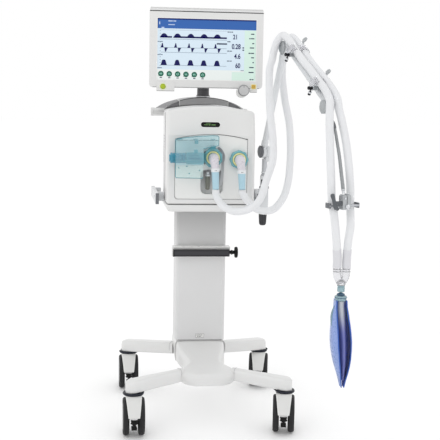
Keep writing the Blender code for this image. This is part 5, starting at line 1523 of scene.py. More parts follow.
# ------------------------------------------------------------------ hose arm
ARM_BASE = joint_place("lower_arm_pivot")
ARM_SIDE = Vector(JOINTS["lower_arm_pivot"]["axis"]).normalized()
ARM_FORWARD = Z.cross(ARM_SIDE).normalized()
ELBOW_JOINT = joint_place("upper_arm_pivot")
WRIST_JOINT = joint_place("end_arm_pivot")
LUNG_JOINT = joint_place("test_lung_swing")


def reach_of(point):
    return (point - ARM_BASE).dot(ARM_FORWARD)


REACH_2, HEIGHT_2 = reach_of(ELBOW_JOINT), ELBOW_JOINT.z
REACH_3, HEIGHT_3 = reach_of(WRIST_JOINT), WRIST_JOINT.z
DROP = (HEIGHT_2 - HEIGHT_3) / (REACH_3 - REACH_2)


def arm_point(reach, height, side=0.0):
    """A place by reach along the arm's plane, height, and offset towards the knobs' side."""
    base = Vector((ARM_BASE.x, ARM_BASE.y, 0))
    return base + ARM_FORWARD * reach + ARM_SIDE * side + Z * height


def knob_disc(name, joint, mat, body, side, radius=0.0215):
    """Flat turning knob with finger dents on the hinge line of an arm joint."""
    disc = [(0, 0.0075), (radius * 0.55, 0.0075), (radius * 0.85, 0.0066), (radius, 0.0046),
            (radius, 0.0020), (radius * 0.92, 0.0004), (0, 0.0004)]
    start = joint + ARM_SIDE * side
    bm = turned(bmesh.new(), disc, start, ARM_SIDE, 72, 10, 0.0011)
    turned(bm, [(0, 0.0002), (0.0090, 0.0002), (0.0090, -0.0022), (0, -0.0022)], start,
           ARM_SIDE, 32)
    return piece(name, bm, mat, body, slot="arm")


def arm_disc(bm, joint, low, high, radius=0.0210):
    edge = 0.0016
    profile = [(0, high), (radius - edge, high), (radius, high - edge), (radius, low + edge),
               (radius - edge, low), (0, low)]
    return turned(bm, profile, joint, ARM_SIDE, 56)


def arm_link(name, start, end, side):
    """A link: discs at both joints, flat necks, sleeves, and a polished tube between."""
    centre = side * 0.0065
    low, high = sorted((side * 0.0004, side * 0.0128))
    bm = bmesh.new()
    arm_disc(bm, start, low, high)
    arm_disc(bm, end, low, high)
    along = (end - start).normalized()
    mid = ARM_SIDE * centre
    for base, direction in ((start, along), (end, -along)):
        outline = [(0.010, -0.0105), (0.030, -0.0100), (0.036, -0.0085), (0.036, 0.0085),
                   (0.030, 0.0100), (0.010, 0.0105)]
        slab(bm, outline, 0.0110, base + mid + ARM_SIDE * 0.0055, direction,
             ARM_SIDE.cross(direction))
    piece(name + "_ends", bm, ARM, name, bevel=0.0008, slot="arm", replaces=(name,))
    length = (end - start).length
    sleeve = [(0.0, 0.0225), (0.0108, 0.0225), (0.0116, 0.0240), (0.0116, 0.0400), (0.0112, 0.0412),
              (0.0104, 0.0418), (0.0104, length - 0.0418), (0.0112, length - 0.0412),
              (0.0116, length - 0.0400), (0.0116, length - 0.0240), (0.0108, length - 0.0225),
              (0.0, length - 0.0225)]
    lathe(name + "_tube", sleeve, start + mid, along, ARM, name, 40, slot="arm")


def clamp():
    """Rail clamp: body with jaw and socket, dark collar, lime ring, ribbed grip below."""
    finish_node("arm_clamp", ARM, 0.0012, 35)
    post = Vector((ARM_BASE.x, ARM_BASE.y, 0))
    socket = [(0, 0.8010), (0.0160, 0.8010), (0.0168, 0.8020), (0.0168, 0.8070), (0.0158, 0.8085),
              (0, 0.8085)]
    lathe("socket_collar", socket, post, Z, KNOB_GREY, "trolley", 48, slot="arm")
    bm = bmesh.new()
    for x0, x1, z0, z1 in ((-0.0128, -0.0040, 0.8100, 0.8330), (-0.0020, 0.0080, 0.8200, 0.8260)):
        block(bm, (post.x + x0, post.y - 0.0131, z0), (post.x + x1, post.y - 0.0120, z1))
    piece("socket_marks", bm, SEAM_DARK, "trolley", bevel=0.0003, slot="dark")
    top = [(0, 0.8455), (0.0105, 0.8455), (0.0118, 0.8470), (0.0118, 0.8500), (0.0105, 0.8512),
           (0.0084, 0.8512), (0.0084, 0.8455)]
    lathe("socket_lip", top[1:], post, Z, POST, "trolley", 40, slot="arm")
    knob_low, knob_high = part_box("clamp_knob")
    axis = Vector(((knob_low.x + knob_high.x) / 2, (knob_low.y + knob_high.y) / 2, 0))
    base = knob_low.z
    collar = [(0, 0.7370), (0.0120, 0.7370), (0.0160, 0.7390), (0.0165, 0.7420), (0.0150, 0.7460),
              (0, 0.7460)]
    lathe("clamp_collar", collar, axis, Z, DARK, "trolley", 48, slot="dark")
    grip = [(0, base), (0.0060, base + 0.0004), (0.0098, base + 0.0022), (0.0118, base + 0.0060),
            (0.0126, base + 0.0120), (0.0140, base + 0.0370), (0.0138, base + 0.0392),
            (0, base + 0.0392)]
    lathe("grip_body", grip, axis, Z, RAIL_DARK, "clamp_knob", 96, 12,
          0.0016, slot="dark", replaces=("clamp_knob",))
    lime = [(0, base + 0.0394), (0.0132, base + 0.0394), (0.0138, base + 0.0404),
            (0.0138, base + 0.0436), (0.0126, base + 0.0450), (0, base + 0.0450)]
    lathe("grip_lime_ring", lime, axis, Z, LIME, "clamp_knob", 48, slot="lime")
    screw = [(0, base + 0.0450), (0.0040, base + 0.0450)]
    for i in range(9):
        z = base + 0.0455 + 0.0019 * i
        screw += [(0.0040, z), (0.0034, z + 0.0009)]
    screw += [(0.0040, base + 0.0638), (0, base + 0.0638)]
    lathe("grip_screw", screw, axis, Z, STEEL, "clamp_knob", 24, slot="arm")


def post():
    """Square post with a round spigot below and the first joint's disc on top."""
    centre = Vector((ARM_BASE.x, ARM_BASE.y, 0))
    spigot = [(0, 0.8055), (0.0070, 0.8055), (0.0078, 0.8065), (0.0078, 0.8600), (0, 0.8600)]
    lathe("post_spigot", spigot, centre, Z, STEEL, "arm_post", 32, slot="arm",
          replaces=("arm_post",))
    bm = bmesh.new()
    outline = rounded(-0.0074, 0.0074, -0.0074, 0.0074, 0.0018, 4)
    right, up = ARM_SIDE, ARM_FORWARD
    normal = right.cross(up)
    height = ARM_BASE.z - 0.0240
    slab(bm, outline, 0.0480, centre + Z * (height if normal.z > 0 else height - 0.0480), right, up)
    piece("post_bar", bm, POST, "arm_post", bevel=0.0006, slot="arm")
    bm = bmesh.new()
    arm_disc(bm, ARM_BASE, -0.0128, -0.0004)
    neck_outline = [(-0.0125, -0.0340), (0.0005, -0.0340), (0.0005, -0.0260), (-0.0008, -0.0150),
                    (-0.0120, -0.0150)]
    facing = -1 if ARM_SIDE.cross(Z).dot(ARM_FORWARD) < 0 else 1
    slab(bm, neck_outline, 0.0190, ARM_BASE + ARM_FORWARD * (facing * 0.0095), ARM_SIDE, Z)
    piece("post_head", bm, ARM, "arm_post", bevel=0.0008, slot="arm")
    collar = [(0, height - 0.0500), (0.0100, height - 0.0500), (0.0108, height - 0.0490),
              (0.0108, height - 0.0455), (0.0100, height - 0.0445), (0, height - 0.0445)]
    lathe("post_collar", collar, centre, Z, ARM, "arm_post", 40, slot="arm")


def gooseneck():
    """End arm: disc, short stub, dark sleeve, flexible ribbed tube and a thin bright rod."""
    points = [(REACH_3, HEIGHT_3, 0.0066), (REACH_3 + 0.030, HEIGHT_3 - 0.030, 0.0066),
              (0.509, 1.026, 0.0050), (0.5215, 0.986, 0.0020), (0.5340, 0.946, 0),
              (0.5465, 0.906, 0), (0.5590, 0.866, 0), (0.5670, 0.8400, 0)]
    path = evenly(spline([arm_point(*p) for p in points], 10), 0.0008)
    count = len(path)

    def stretch(start, end):
        return path[int(start * (count - 1)):int(end * (count - 1)) + 1]

    bm = bmesh.new()
    arm_disc(bm, WRIST_JOINT, 0.0004, 0.0128)
    swept(bm, stretch(0.02, 0.215), 0.0060, 24)
    piece("end_arm_head", bm, ARM, "end_arm", slot="arm", replaces=("end_arm",))
    sleeve = stretch(0.205, 0.300)
    bm = swept(bmesh.new(), sleeve, [0.0058 + 0.0012 * math.sin(math.pi * i / (len(sleeve) - 1))
                                     for i in range(len(sleeve))], 24)
    piece("end_arm_sleeve", bm, KNOB_GREY, "end_arm", slot="dark")
    flex = stretch(0.295, 0.960)
    radii = [0.0044 + 0.0011 * (i / len(flex))
             + 0.0006 * math.cos(2 * math.pi * i * 0.0008 / 0.0040) for i in range(len(flex))]
    bm = swept(bmesh.new(), flex, radii, 24)
    piece("gooseneck_flex", bm, RIBBED, "end_arm", slot="arm")
    rod = stretch(0.955, 1.0)
    bm = swept(bmesh.new(), rod, [0.0056 if i < 5 else 0.0044 for i in range(len(rod))], 24)
    piece("gooseneck_rod", bm, CHROME, "end_arm", slot="arm")


def holder():
    """Two-jaw holder block with its lever, round screw, cross rod and hose clips."""
    centre = arm_point(0.577, 0.8175)
    bm = bmesh.new()
    front = ARM_FORWARD

    def jaw(offset, half_width, z0, z1, depth):
        """An upright cheek of the block, centred at an offset towards the knobs' side."""
        outline = [(-half_width, z0), (half_width, z0), (half_width, z1 - 0.0045),
                   (half_width - 0.0045, z1), (-half_width + 0.0045, z1),
                   (-half_width, z1 - 0.0045)]
        slab(bm, outline, depth, centre + ARM_SIDE * offset + front * depth / 2, -ARM_SIDE, Z)

    jaw(0.0070, 0.0066, -0.0225, 0.0215, 0.0270)
    jaw(-0.0072, 0.0060, -0.0200, 0.0230, 0.0250)
    piece("holder_jaws", bm, ZINC, "end_arm", bevel=0.0012, slot="arm", replaces=("hose_holder",))
    bm = bmesh.new()
    face = centre + front * 0.0137
    turned(bm, [(0, 0.0042), (0.0052, 0.0042), (0.0066, 0.0034), (0.0070, 0.0018),
                (0.0070, -0.0030), (0, -0.0030)], face - ARM_SIDE * 0.0012 - Z * 0.0125, front, 40)
    turned(bm, [(0, 0.0022), (0.0030, 0.0022), (0.0034, -0.0020), (0, -0.0020)],
           face + ARM_SIDE * 0.0070 + Z * 0.0110, front, 24)
    piece("holder_screws", bm, CHROME, "end_arm", slot="arm")
    bm = bmesh.new()
    swept(bm, [centre + ARM_SIDE * s for s in (-0.0010, -0.0003, 0.0003, 0.0010)], 0.0132, 6)
    for z in (-0.014, 0.0, 0.014):
        swept(bm, [face + ARM_SIDE * s + Z * z - front * 0.0140 for s in (-0.0150, -0.0132)],
              0.0030, 16)
    piece("holder_gap", bm, SEAM_DARK, "end_arm", slot="dark")
    bm = bmesh.new()
    stem = [arm_point(0.581, 0.815, s) for s in (0.0128, 0.0200, 0.0300, 0.0365)]
    swept(bm, stem, [0.0056, 0.0050, 0.0052, 0.0060], 24)
    wing = [arm_point(0.581, 0.7960, 0.0316), arm_point(0.581, 0.8040, 0.0338),
            arm_point(0.581, 0.8150, 0.0368), arm_point(0.581, 0.8270, 0.0405),
            arm_point(0.581, 0.8380, 0.0440), arm_point(0.581, 0.8415, 0.0452)]
    swept(bm, [Vector(p) for p in spline(wing, 4)],
          [float(r[0]) for r in spline([(0.0040,), (0.0062,), (0.0058,), (0.0054,), (0.0066,),
                                        (0.0040,)], 4)], 24)
    foot = [arm_point(0.581, 0.8070, 0.0320), arm_point(0.581, 0.7990, 0.0280),
            arm_point(0.581, 0.7940, 0.0245)]
    swept(bm, foot, [0.0052, 0.0050, 0.0040], 20)
    piece("holder_lever", bm, LEVER, "end_arm", slot="dark")
    bm = bmesh.new()
    swept(bm, [arm_point(0.5685, 0.805, s) for s in (0.0460, 0.0200, -0.0150, -0.0500)], 0.0036, 20)
    piece("holder_cross_rod", bm, STEEL, "end_arm", slot="arm")
    for hand, side, outward in (("left", 0.0440, 1), ("right", -0.0500, -1)):
        bm = bmesh.new()
        spot = arm_point(0.5565, 0.805, side)
        outline = rounded(-0.0140, 0.0140, -0.0078, 0.0078, 0.0022, 4)
        slab(bm, outline, 0.0044, spot + ARM_SIDE * 0.0022, ARM_FORWARD, Z)
        for z in (-0.0040, 0.0, 0.0040):
            swept(bm, [spot + ARM_SIDE * outward * 0.0024 + Z * z + ARM_FORWARD * f
                       for f in (-0.0110, 0.0110)], 0.0007, 8)
        piece(f"holder_clip_{hand}", bm, KNOB_GREY, "end_arm", bevel=0.0008, slot="arm")


def hose_clip(index, reach):
    """Clear saddle over both hoses on the upper arm, with thumbscrew and paddle."""
    along = (WRIST_JOINT - ELBOW_JOINT).normalized()
    up = along.cross(ARM_SIDE).normalized()
    if up.z < 0:
        up = -up
    height = HEIGHT_2 - (reach - REACH_2) * DROP
    base = arm_point(reach, height)
    bm = bmesh.new()
    lift = 0.0345

    def loop(radius):
        points = [(0.0305, -0.004), (0.0315, 0.012), (0.0270, 0.024), (0.0180, radius + 0.017),
                  (0.0050, radius + 0.0125), (-0.0080, radius + 0.0135), (-0.0240, radius + 0.017),
                  (-0.0345, 0.024), (-0.0380, 0.012), (-0.0370, -0.004)]
        return [Vector(p) for p in spline([(s, h + lift - 0.018) for s, h in points], 5)]

    outer = loop(0.0140)
    inner = [Vector((p.x * 0.955 - 0.0001, p.y - 0.0016)) for p in loop(0.0127)]
    half = 0.0125
    rings = [[bm.verts.new(base + along * shift + ARM_SIDE * p.x + up * p.y) for p in line]
             for line, shift in ((outer, -half), (outer, half), (inner, half), (inner, -half))]
    skin(bm, rings + rings[:1], closed=False, caps=False)
    piece(f"clip_saddle_{index}", bm, CLEAR, "upper_arm", slot="clear")
    facing = ARM_SIDE.cross(up)
    bm = slab(bmesh.new(), rounded(-0.0360, 0.0300, -0.0020, 0.0020, 0.0018, 3), 0.0200,
              base + facing * 0.0100 + up * 0.0165, ARM_SIDE, up)
    piece(f"clip_bridge_{index}", bm, KNOB_PALE, "upper_arm", bevel=0.0006, slot="clear")
    bm = bmesh.new()
    side_spot = arm_point(reach + 0.028, height - 0.028 * DROP + 0.031, 0.0340)
    paddle = [(-0.0075, 0.0), (-0.0085, 0.0110), (-0.0040, 0.0170), (0.0045, 0.0170),
              (0.0085, 0.0110), (0.0070, 0.0)]
    far = arm_point(reach - 0.026, height + 0.026 * DROP + 0.044, -0.0385)
    swept(bm, [base - ARM_SIDE * 0.0370 + up * 0.0120, far], 0.0026, 12)
    swept(bm, [base + ARM_SIDE * 0.0305 + up * 0.0110, side_spot], 0.0026, 12)
    tilt = (up - ARM_SIDE * 0.7).normalized()
    slab(bm, paddle, 0.0036, far, along, tilt)
    piece(f"clip_paddle_{index}", bm, KNOB_PALE, "upper_arm", bevel=0.0012, slot="arm")
    bm = bmesh.new()
    turned(bm, [(0, 0.0), (0.0042, 0.0), (0.0046, 0.0010), (0.0046, 0.0050), (0.0030, 0.0060),
                (0.0030, 0.0090), (0.0052, 0.0100), (0.0056, 0.0125), (0.0046, 0.0150),
                (0, 0.0150)],
           side_spot, ARM_SIDE, 28)
    piece(f"clip_screw_{index}", bm, DARK, "upper_arm", slot="dark")
    bm = bmesh.new()
    turned(bm, [(0, -0.0035), (0.0046, -0.0030), (0.0062, 0.0), (0.0046, 0.0030), (0, 0.0035)],
           side_spot - up * 0.0150 + ARM_SIDE * 0.0045, up, 28)
    piece(f"clip_ball_{index}", bm, CHROME, "upper_arm", slot="arm")
    bm = bmesh.new()
    swept(bm, [side_spot + ARM_SIDE * 0.0045 - up * h for h in (0.0, 0.0120)], 0.0022, 14)
    swept(bm, [side_spot + ARM_SIDE * 0.0045 - up * h for h in (0.0180, 0.0230, 0.0245)],
          [0.0042, 0.0050, 0.0030], 20)
    piece(f"clip_stem_{index}", bm, DARK, "upper_arm", slot="dark")


def hose_arm():
    """The whole arm, from the rail clamp to the hose holder and the two clips."""
    clamp()
    post()
    arm_link("lower_arm", ARM_BASE, ELBOW_JOINT, 1)
    arm_link("upper_arm", ELBOW_JOINT, WRIST_JOINT, -1)
    gooseneck()
    knob_disc("knob_first", ARM_BASE, KNOB_GREY, "lower_arm", 0.0135)
    knob_disc("knob_second", ELBOW_JOINT, KNOB_PALE, "lower_arm", 0.0135)
    knob_disc("knob_third", WRIST_JOINT, KNOB_PALE, "end_arm", 0.0135)
    holder()
    hose_clip(1, REACH_2 + 0.065)
    hose_clip(2, REACH_2 + 0.233)


# ------------------------------------------------------- hoses, Y and lung
HOSE_RADIUS = 0.0119
RIB_PITCH = 0.0040
RIB_DEPTH = 0.00030
Y_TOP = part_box("y_piece")[1].z
Y_HALF_SPAN = 0.0145
SLEEVE_END = min(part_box("exp_elbow")[0].z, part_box("insp_elbow")[0].z)


def hose_paths():
    """Centre lines of both hoses, from the sleeves over the arm to the Y-piece."""
    start_y = PORTS["exp"].y - 0.0500
    exp_x, insp_x = PORTS["exp"].x + 0.007, PORTS["insp"].x + 0.007
    low = SLEEVE_END - 0.0010
    expiratory = [Vector((exp_x, start_y, low)), Vector((exp_x, start_y - 0.001, low - 0.010)),
                  Vector((exp_x + 0.004, start_y - 0.017, 0.784))]
    expiratory += [at(*place) for place in (
        (0.033, -0.300, 0.760), (0.068, -0.335, 0.749), (0.109, -0.362, 0.762),
        (0.138, -0.378, 0.795), (0.155, -0.388, 0.856), (0.174, -0.385, 0.919),
        (0.179, -0.352, 0.980), (0.177, -0.305, 1.058), (0.177, -0.272, 1.137),
        (0.179, -0.255, 1.201))]
    expiratory += [arm_point(*place) for place in (
        (0.145, 1.2335, 0.0470), (0.142, 1.2625, 0.0400), (0.147, 1.2930, 0.0315),
        (0.163, 1.3120, 0.0190), (0.193, 1.2940, 0.0090), (0.231, 1.2640, 0.0060),
        (0.283, 1.2320, 0.0060), (0.341, 1.2010, 0.0060), (0.393, 1.1700, 0.0060),
        (0.444, 1.1410, 0.0070), (0.486, 1.1110, 0.0130), (0.500, 1.0820, 0.0190),
        (0.508, 1.0530, 0.0225), (0.515, 1.0240, 0.0250), (0.522, 0.9650, 0.0250),
        (0.540, 0.8780, 0.0280), (0.546, 0.8200, 0.0275))]
    expiratory += [at(0.3170, -0.640, 0.776), at(0.3260, -0.636, 0.716)]
    inspiratory = [Vector((insp_x, start_y, low)), Vector((insp_x + 0.001, start_y, low - 0.010))]
    inspiratory += [at(*place) for place in (
        (0.110, -0.255, 0.783), (0.130, -0.262, 0.759), (0.152, -0.266, 0.746),
        (0.179, -0.266, 0.743), (0.204, -0.258, 0.749), (0.225, -0.248, 0.768),
        (0.243, -0.236, 0.796), (0.256, -0.225, 0.842), (0.262, -0.212, 0.891),
        (0.266, -0.195, 0.940), (0.266, -0.180, 0.989), (0.263, -0.165, 1.038),
        (0.251, -0.150, 1.104))]
    inspiratory += [arm_point(*place) for place in (
        (0.051, 1.1700, -0.0360), (0.050, 1.2040, -0.0350), (0.058, 1.2535, -0.0330),
        (0.081, 1.2890, -0.0300), (0.127, 1.3090, -0.0275), (0.175, 1.2930, -0.0250),
        (0.225, 1.2670, -0.0205), (0.278, 1.2330, -0.0200), (0.335, 1.2010, -0.0200),
        (0.391, 1.1710, -0.0200), (0.443, 1.1410, -0.0190), (0.481, 1.1130, -0.0160),
        (0.4900, 1.0830, -0.0175), (0.505, 1.0530, -0.0190), (0.522, 1.0090, -0.0220),
        (0.534, 0.9660, -0.0250), (0.545, 0.9080, -0.0280), (0.546, 0.8480, -0.0335),
        (0.546, 0.8040, -0.0345))]
    inspiratory += [at(0.3690, -0.635, 0.745), at(0.3645, -0.632, 0.700)]
    for side, points in ((-1, expiratory), (1, inspiratory)):
        end = LUNG_JOINT + X * side * Y_HALF_SPAN
        points += [Vector((end.x, end.y - 0.0005, 0.645)), Vector((end.x, end.y, Y_TOP + 0.0002))]
    return {"expiratory": expiratory, "inspiratory": inspiratory}


def hose(label, points):
    """One ribbed hose in stretches, each crossing at most one joint of the arm; a stretch that
    crosses a joint rides on no body.
    """
    step = RIB_PITCH / 4
    path = evenly(spline(points, 10), step)
    radii = [HOSE_RADIUS + RIB_DEPTH * math.cos(2 * math.pi * i * step / RIB_PITCH)
             for i in range(len(path))]
    heights = [p.z for p in path]
    apex = heights.index(max(heights))
    bottom = heights.index(min(heights[:apex]))

    def rising(z):
        return next(i for i in range(bottom, apex) if heights[i] >= z)

    def falling(z):
        return next(i for i in range(apex, len(path)) if heights[i] <= z)

    wrist_end = falling(HEIGHT_3 - 0.075)
    wrist_start = next(i for i in range(apex, len(path)) if reach_of(path[i]) >= REACH_3 - 0.035)
    port_body = "exp_elbow" if label == "expiratory" else "insp_elbow"
    marks = [("outlet", 0, bottom, port_body, "trolley", Z * SLEEVE_END,
              Z * (heights[bottom] + 0.012)),
             ("rise", bottom, rising(0.955), "trolley", "arm_post", Z * 0.765, Z * 0.945),
             ("climb", rising(0.955), rising(1.150), "arm_post", "lower_arm", Z * 0.965, Z * 1.140),
             ("top", rising(1.150), apex, "lower_arm", "upper_arm", Z * 1.160,
              Z * (heights[apex] - 0.004)),
             ("along", apex, wrist_start, "upper_arm", None, None, None),
             ("wrist", wrist_start, wrist_end, "upper_arm", "end_arm", path[wrist_start],
              path[wrist_end]),
             ("drop", wrist_end, len(path) - 1, "end_arm", None, None, None)]
    for index, (part, first, last, body, next_body, start, end) in enumerate(marks):
        bm = swept(bmesh.new(), path[first:last + 1], radii[first:last + 1], 20)
        name = f"hose_{label}_{part}"
        made = piece(name, bm, HOSE, None if next_body else body, angle=60, slot="hose")
        if next_body:
            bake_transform(made)
        if index == 0:
            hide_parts(f"hose_{label}")
    return path


def hose_cuff(label, path):
    """Smooth end cuff at the Y-piece."""
    step = (path[1] - path[0]).length
    tail = path[-int(0.060 / step):]
    radii = [HOSE_RADIUS + 0.0005 + 0.0005 * min(1.0, i * step / 0.004) for i in range(len(tail))]
    bm = swept(bmesh.new(), tail[::4] + tail[-1:], radii[::4] + radii[-1:], 32)
    piece(f"hose_{label}_cuff", bm, HOSE_CUFF, "end_arm", slot="hose")


def y_piece():
    """Clear Y-piece with inner limbs, sealing beads and a stem into the connector."""
    x, y = LUNG_JOINT.x, LUNG_JOINT.y
    bm = bmesh.new()
    for side in (-1, 1):
        limb = [Vector((x + side * Y_HALF_SPAN, y, Y_TOP)),
                Vector((x + side * Y_HALF_SPAN, y, 0.6010)),
                Vector((x + side * 0.0128, y, 0.5890)), Vector((x + side * 0.0080, y, 0.5780)),
                Vector((x + side * 0.0030, y, 0.5690))]
        fine = [Vector(p) for p in spline(limb, 5)]
        swept(bm, fine, [0.0118 - 0.0012 * i / (len(fine) - 1) for i in range(len(fine))], 32)
    stem = [(0, 0.5560), (0.0098, 0.5560), (0.0104, 0.5610), (0.0116, 0.5680),
            (0.0120, 0.5740), (0.0070, 0.5800), (0, 0.5810)]
    turned(bm, stem, Vector((x, y, 0)), Z, 40)
    piece("y_body", bm, CLEAR, "end_arm", slot="clear", replaces=("y_piece",))
    bm = bmesh.new()
    for side in (-1, 1):
        for z in (Y_TOP - 0.0030, Y_TOP - 0.0105):
            turned(bm, [(0.0114, 0.0008), (0.0124, 0.0003), (0.0124, -0.0003), (0.0114, -0.0008)],
                   Vector((x + side * Y_HALF_SPAN, y, z)), Z, 32)
    piece("y_beads", bm, CLEAR, "end_arm", slot="clear")
    bm = slab(bmesh.new(), [(-0.0024, 0.5840), (0.0024, 0.5840), (0.0020, 0.6090), (0.0, 0.6120),
                            (-0.0020, 0.6090)], 0.0100, Vector((x, y - 0.0050, 0)), X, Z)
    piece("y_web", bm, CLEAR, "end_arm", bevel=0.0004, slot="clear")
    joint = [(0, 0.5434), (0.0106, 0.5434), (0.0112, 0.5442), (0.0112, 0.5560), (0.0104, 0.5570),
             (0.0104, 0.5590), (0.0118, 0.5600), (0.0118, 0.5620), (0.0104, 0.5632), (0, 0.5632)]
    lathe("y_connector", joint, Vector((x, y, 0)), Z, CONNECTOR, "end_arm", 40, slot="clear")


LEAF_TOP, LEAF_BOTTOM = 0.5190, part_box("test_lung_bag")[0].z + 0.0010


def leaf_profile(share):
    """(half depth, distance from the bag's middle plane) of a leaf at a share of its height."""
    depth = [0.0170, 0.0200, 0.0300, 0.0425, 0.0510, 0.0548, 0.0550, 0.0520, 0.0450, 0.0340,
             0.0200, 0.0080]
    away = [0.0150, 0.0158, 0.0170, 0.0182, 0.0190, 0.0192, 0.0184, 0.0168, 0.0142, 0.0108,
            0.0070, 0.0040]
    at_share = np.linspace(0, 1, len(depth))
    return float(np.interp(share, at_share, depth)), float(np.interp(share, at_share, away))


def lung_point(share, x, y):
    """A place in the lung, whose lower end hangs a little to the right."""
    lean = 0.0125 * share ** 1.45
    return Vector((LUNG_JOINT.x + x + lean, LUNG_JOINT.y + y,
                   LEAF_TOP + (LEAF_BOTTOM - LEAF_TOP) * share))


def leaf_bulge(share, s):
    return 0.0105 * (1 - s * s) * math.sin(math.pi * min(1.0, share * 1.05)) ** 0.8


def lung():
    """Test lung: two curved leaves round a soft inner bag, under a collar with a clamp ring."""
    rows, columns = 44, 16
    # The left leaf's paler blue is painted sheen; both leaves are one blue plastic.
    for hand, side, mat in (("left", -1, LEAF_SHEEN), ("right", 1, LEAF_DEEP)):
        bm = bmesh.new()
        rings = []
        for share in (i / rows for i in range(rows + 1)):
            half, away = leaf_profile(share)
            ring = []
            for thickness in (0.0011, -0.0011):
                order = range(columns + 1) if thickness > 0 else range(columns, -1, -1)
                for j in order:
                    s = 2 * j / columns - 1
                    x = side * (away + leaf_bulge(share, s) + thickness)
                    ring.append(bm.verts.new(lung_point(share, x, half * s)))
            rings.append(ring)
        skin(bm, rings)
        piece(f"lung_leaf_{hand}", bm, mat, "test_lung", angle=60, slot="bag",
              replaces=("test_lung_bag",) if side < 0 else ())
        bm = bmesh.new()
        for s in (-1, 1):
            path = [lung_point(i / rows, side * leaf_profile(i / rows)[1],
                               leaf_profile(i / rows)[0] * s) for i in range(rows + 1)]
            swept(bm, path, 0.0019, 10)
        piece(f"lung_edge_{hand}", bm, LEAF_EDGE, "test_lung", slot="bag")
    bm = bmesh.new()
    rings = []
    for i in range(rows + 1):
        share = 0.012 + 0.90 * i / rows
        half, away = leaf_profile(share)
        ring = []
        for j in range(40):
            a = 2 * math.pi * j / 40
            fold = 1 - 0.08 * math.cos(6 * a + 3 * share) * math.sin(math.pi * share)
            ring.append(bm.verts.new(lung_point(share, (away * 0.80 - 0.001) * fold * math.cos(a),
                                                half * 0.86 * math.sin(a))))
        rings.append(ring)
    skin(bm, rings)
    piece("lung_inner_bag", bm, BAG, "test_lung", angle=60, slot="bag")
    window = bmesh.new()
    for side, y0 in ((-1, -0.006), (1, 0.0)):
        path = []
        for share in np.linspace(0.060, 0.300, 9):
            y = y0 + 0.010 * math.sin(math.pi * (share - 0.055) / 0.25)
            half, away = leaf_profile(share)
            path.append(lung_point(share, side * (away + leaf_bulge(share, y / half) + 0.0006), y))
        swept(window, path, [0.0012 + 0.0042 * math.sin(math.pi * k / 8) for k in range(9)], 14)
    piece("lung_windows", window, CONNECTOR, "test_lung", slot="clear")
    base = Vector((LUNG_JOINT.x, LUNG_JOINT.y, 0))
    adapter = [(0, 0.5411), (0.0034, 0.5411), (0.0106, 0.5374), (0.0108, 0.5370)]
    for i in range(3):
        z = 0.5366 - 0.0024 * i
        adapter += [(0.0122, z), (0.0122, z - 0.0011), (0.0108, z - 0.0014)]
    adapter += [(0.0120, 0.5300), (0, 0.5300)]
    lathe("lung_adapter", adapter, base, Z, COLLAR, "test_lung", 48, slot="bag")
    flange = [(0, 0.5316), (0.0140, 0.5316), (0.0176, 0.5306), (0.0184, 0.5286), (0.0184, 0.5236),
              (0.0170, 0.5214), (0.0176, 0.5194), (0.0176, 0.5170), (0, 0.5170)]
    lathe("lung_collar", flange, base, Z, CONNECTOR, "test_lung", 56, 24, 0.0006, slot="clear")
    bm = bmesh.new()
    rings = [[bm.verts.new(base + Vector((r * math.cos(a), r * math.sin(a), z)))
              for a in (2 * math.pi * k / 56 for k in range(56))]
             for r, z in ((0.0182, 0.5250), (0.0190, 0.5256), (0.0190, 0.5270), (0.0182, 0.5276))]
    skin(bm, rings + rings[:1], caps=False)
    piece("lung_clamp_ring", bm, COLLAR, "test_lung", slot="bag")


def circuit():
    """Both hoses with their cuffs, the Y-piece and the test lung."""
    for label, points in hose_paths().items():
        path = hose(label, points)
        hose_cuff(label, path)
    y_piece()
    lung()


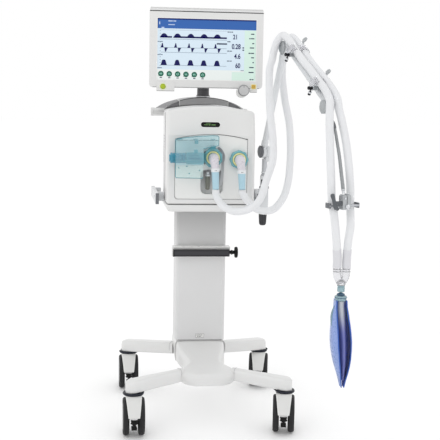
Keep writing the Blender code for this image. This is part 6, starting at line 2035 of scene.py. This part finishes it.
# ------------------------------------------------------------------ studio
def studio():
    """White surroundings, three large soft lights and a pale floor."""
    scene = bpy.context.scene
    scene.view_settings.view_transform = "Standard"
    world = bpy.data.worlds.new("studio")
    scene.world = world
    world.use_nodes = True
    background = world.node_tree.nodes["Background"]
    background.inputs["Color"].default_value = (1.0, 1.0, 1.0, 1)
    background.inputs["Strength"].default_value = 1.0

    def light(name, place, target, size, watts):
        data = bpy.data.lights.new(name, "AREA")
        data.shape = "RECTANGLE"
        data.size, data.size_y = size
        data.energy = watts
        lamp = bpy.data.objects.new(name, data)
        scene.collection.objects.link(lamp)
        lamp.location = place
        lamp.rotation_mode = "QUATERNION"
        lamp.rotation_quaternion = (Vector(target) - Vector(place)).to_track_quat("-Z", "Y")

    light("key", (-2.2, -2.8, 3.0), (0, 0, 0.8), (1.8, 1.8), 13)
    light("fill", (2.8, -2.2, 1.6), (0, 0, 0.8), (1.6, 2.2), 3)
    light("top", (0.2, 0.3, 3.6), (0, 0, 0.8), (1.6, 1.6), 3)
    floor_mesh = bmesh.new()
    bmesh.ops.create_grid(floor_mesh, x_segments=2, y_segments=2, size=30)
    mesh = bpy.data.meshes.new("floor")
    floor_mesh.to_mesh(mesh)
    floor_mesh.free()
    floor = bpy.data.objects.new("floor", mesh)
    scene.collection.objects.link(floor)
    pale = bpy.data.materials.new("floor_white")
    pale.use_nodes = True
    shader = pale.node_tree.nodes["Principled BSDF"]
    shader.inputs["Base Color"].default_value = (0.92, 0.92, 0.92, 1)
    shader.inputs["Roughness"].default_value = 1.0
    shader.inputs["Specular IOR Level"].default_value = 0.0
    shader.inputs["Emission Color"].default_value = (1, 1, 1, 1)
    shader.inputs["Emission Strength"].default_value = 0.09
    mesh.materials.append(pale)


def camera():
    """Standing eye level from the left, slightly looking down, with the fitted tilt."""
    yaw, pitch, roll = -0.1199, 0.1265, 0.01794
    place = MIDDLE + Vector((-0.3787, -3.6149, 1.1417))
    data = bpy.data.cameras.new("camera")
    data.sensor_width = 36
    data.lens = 85.16
    made = bpy.data.objects.new("camera", data)
    bpy.context.scene.collection.objects.link(made)
    look = Vector((-math.sin(yaw) * math.cos(pitch), math.cos(yaw) * math.cos(pitch),
                   -math.sin(pitch)))
    right = Vector((math.cos(yaw), math.sin(yaw), 0))
    up = right.cross(look)
    right_turned = right * math.cos(roll) + up * math.sin(roll)
    up_turned = up * math.cos(roll) - right * math.sin(roll)
    matrix = Matrix((right_turned, up_turned, -look)).transposed().to_4x4()
    matrix.translation = place
    made.matrix_world = matrix
    bpy.context.scene.camera = made


def internals():
    """Parts inside the casings."""
    for name in ("gas_mixer_block", "power_supply"):
        finish_node(name, ZINC, 0.0)


casters()
hub()
for side, hand in ((-1, "left"), (1, "right")):
    leg(f"leg_front_{hand}", side, False)
    leg(f"leg_rear_{hand}", side, True)
column()
rail_and_knob()
tray()
side_rails()
handle()
casings()
niche()
status_display()
top_cover()
unit_back()
port_rings()
elbow("exp", "exp_elbow")
elbow("insp", "insp_elbow")
flap()
sensor()
water_trap()
screen()
bezel()
controls()
monitor_rear()
neck()
hose_arm()
circuit()
internals()
studio()
camera()
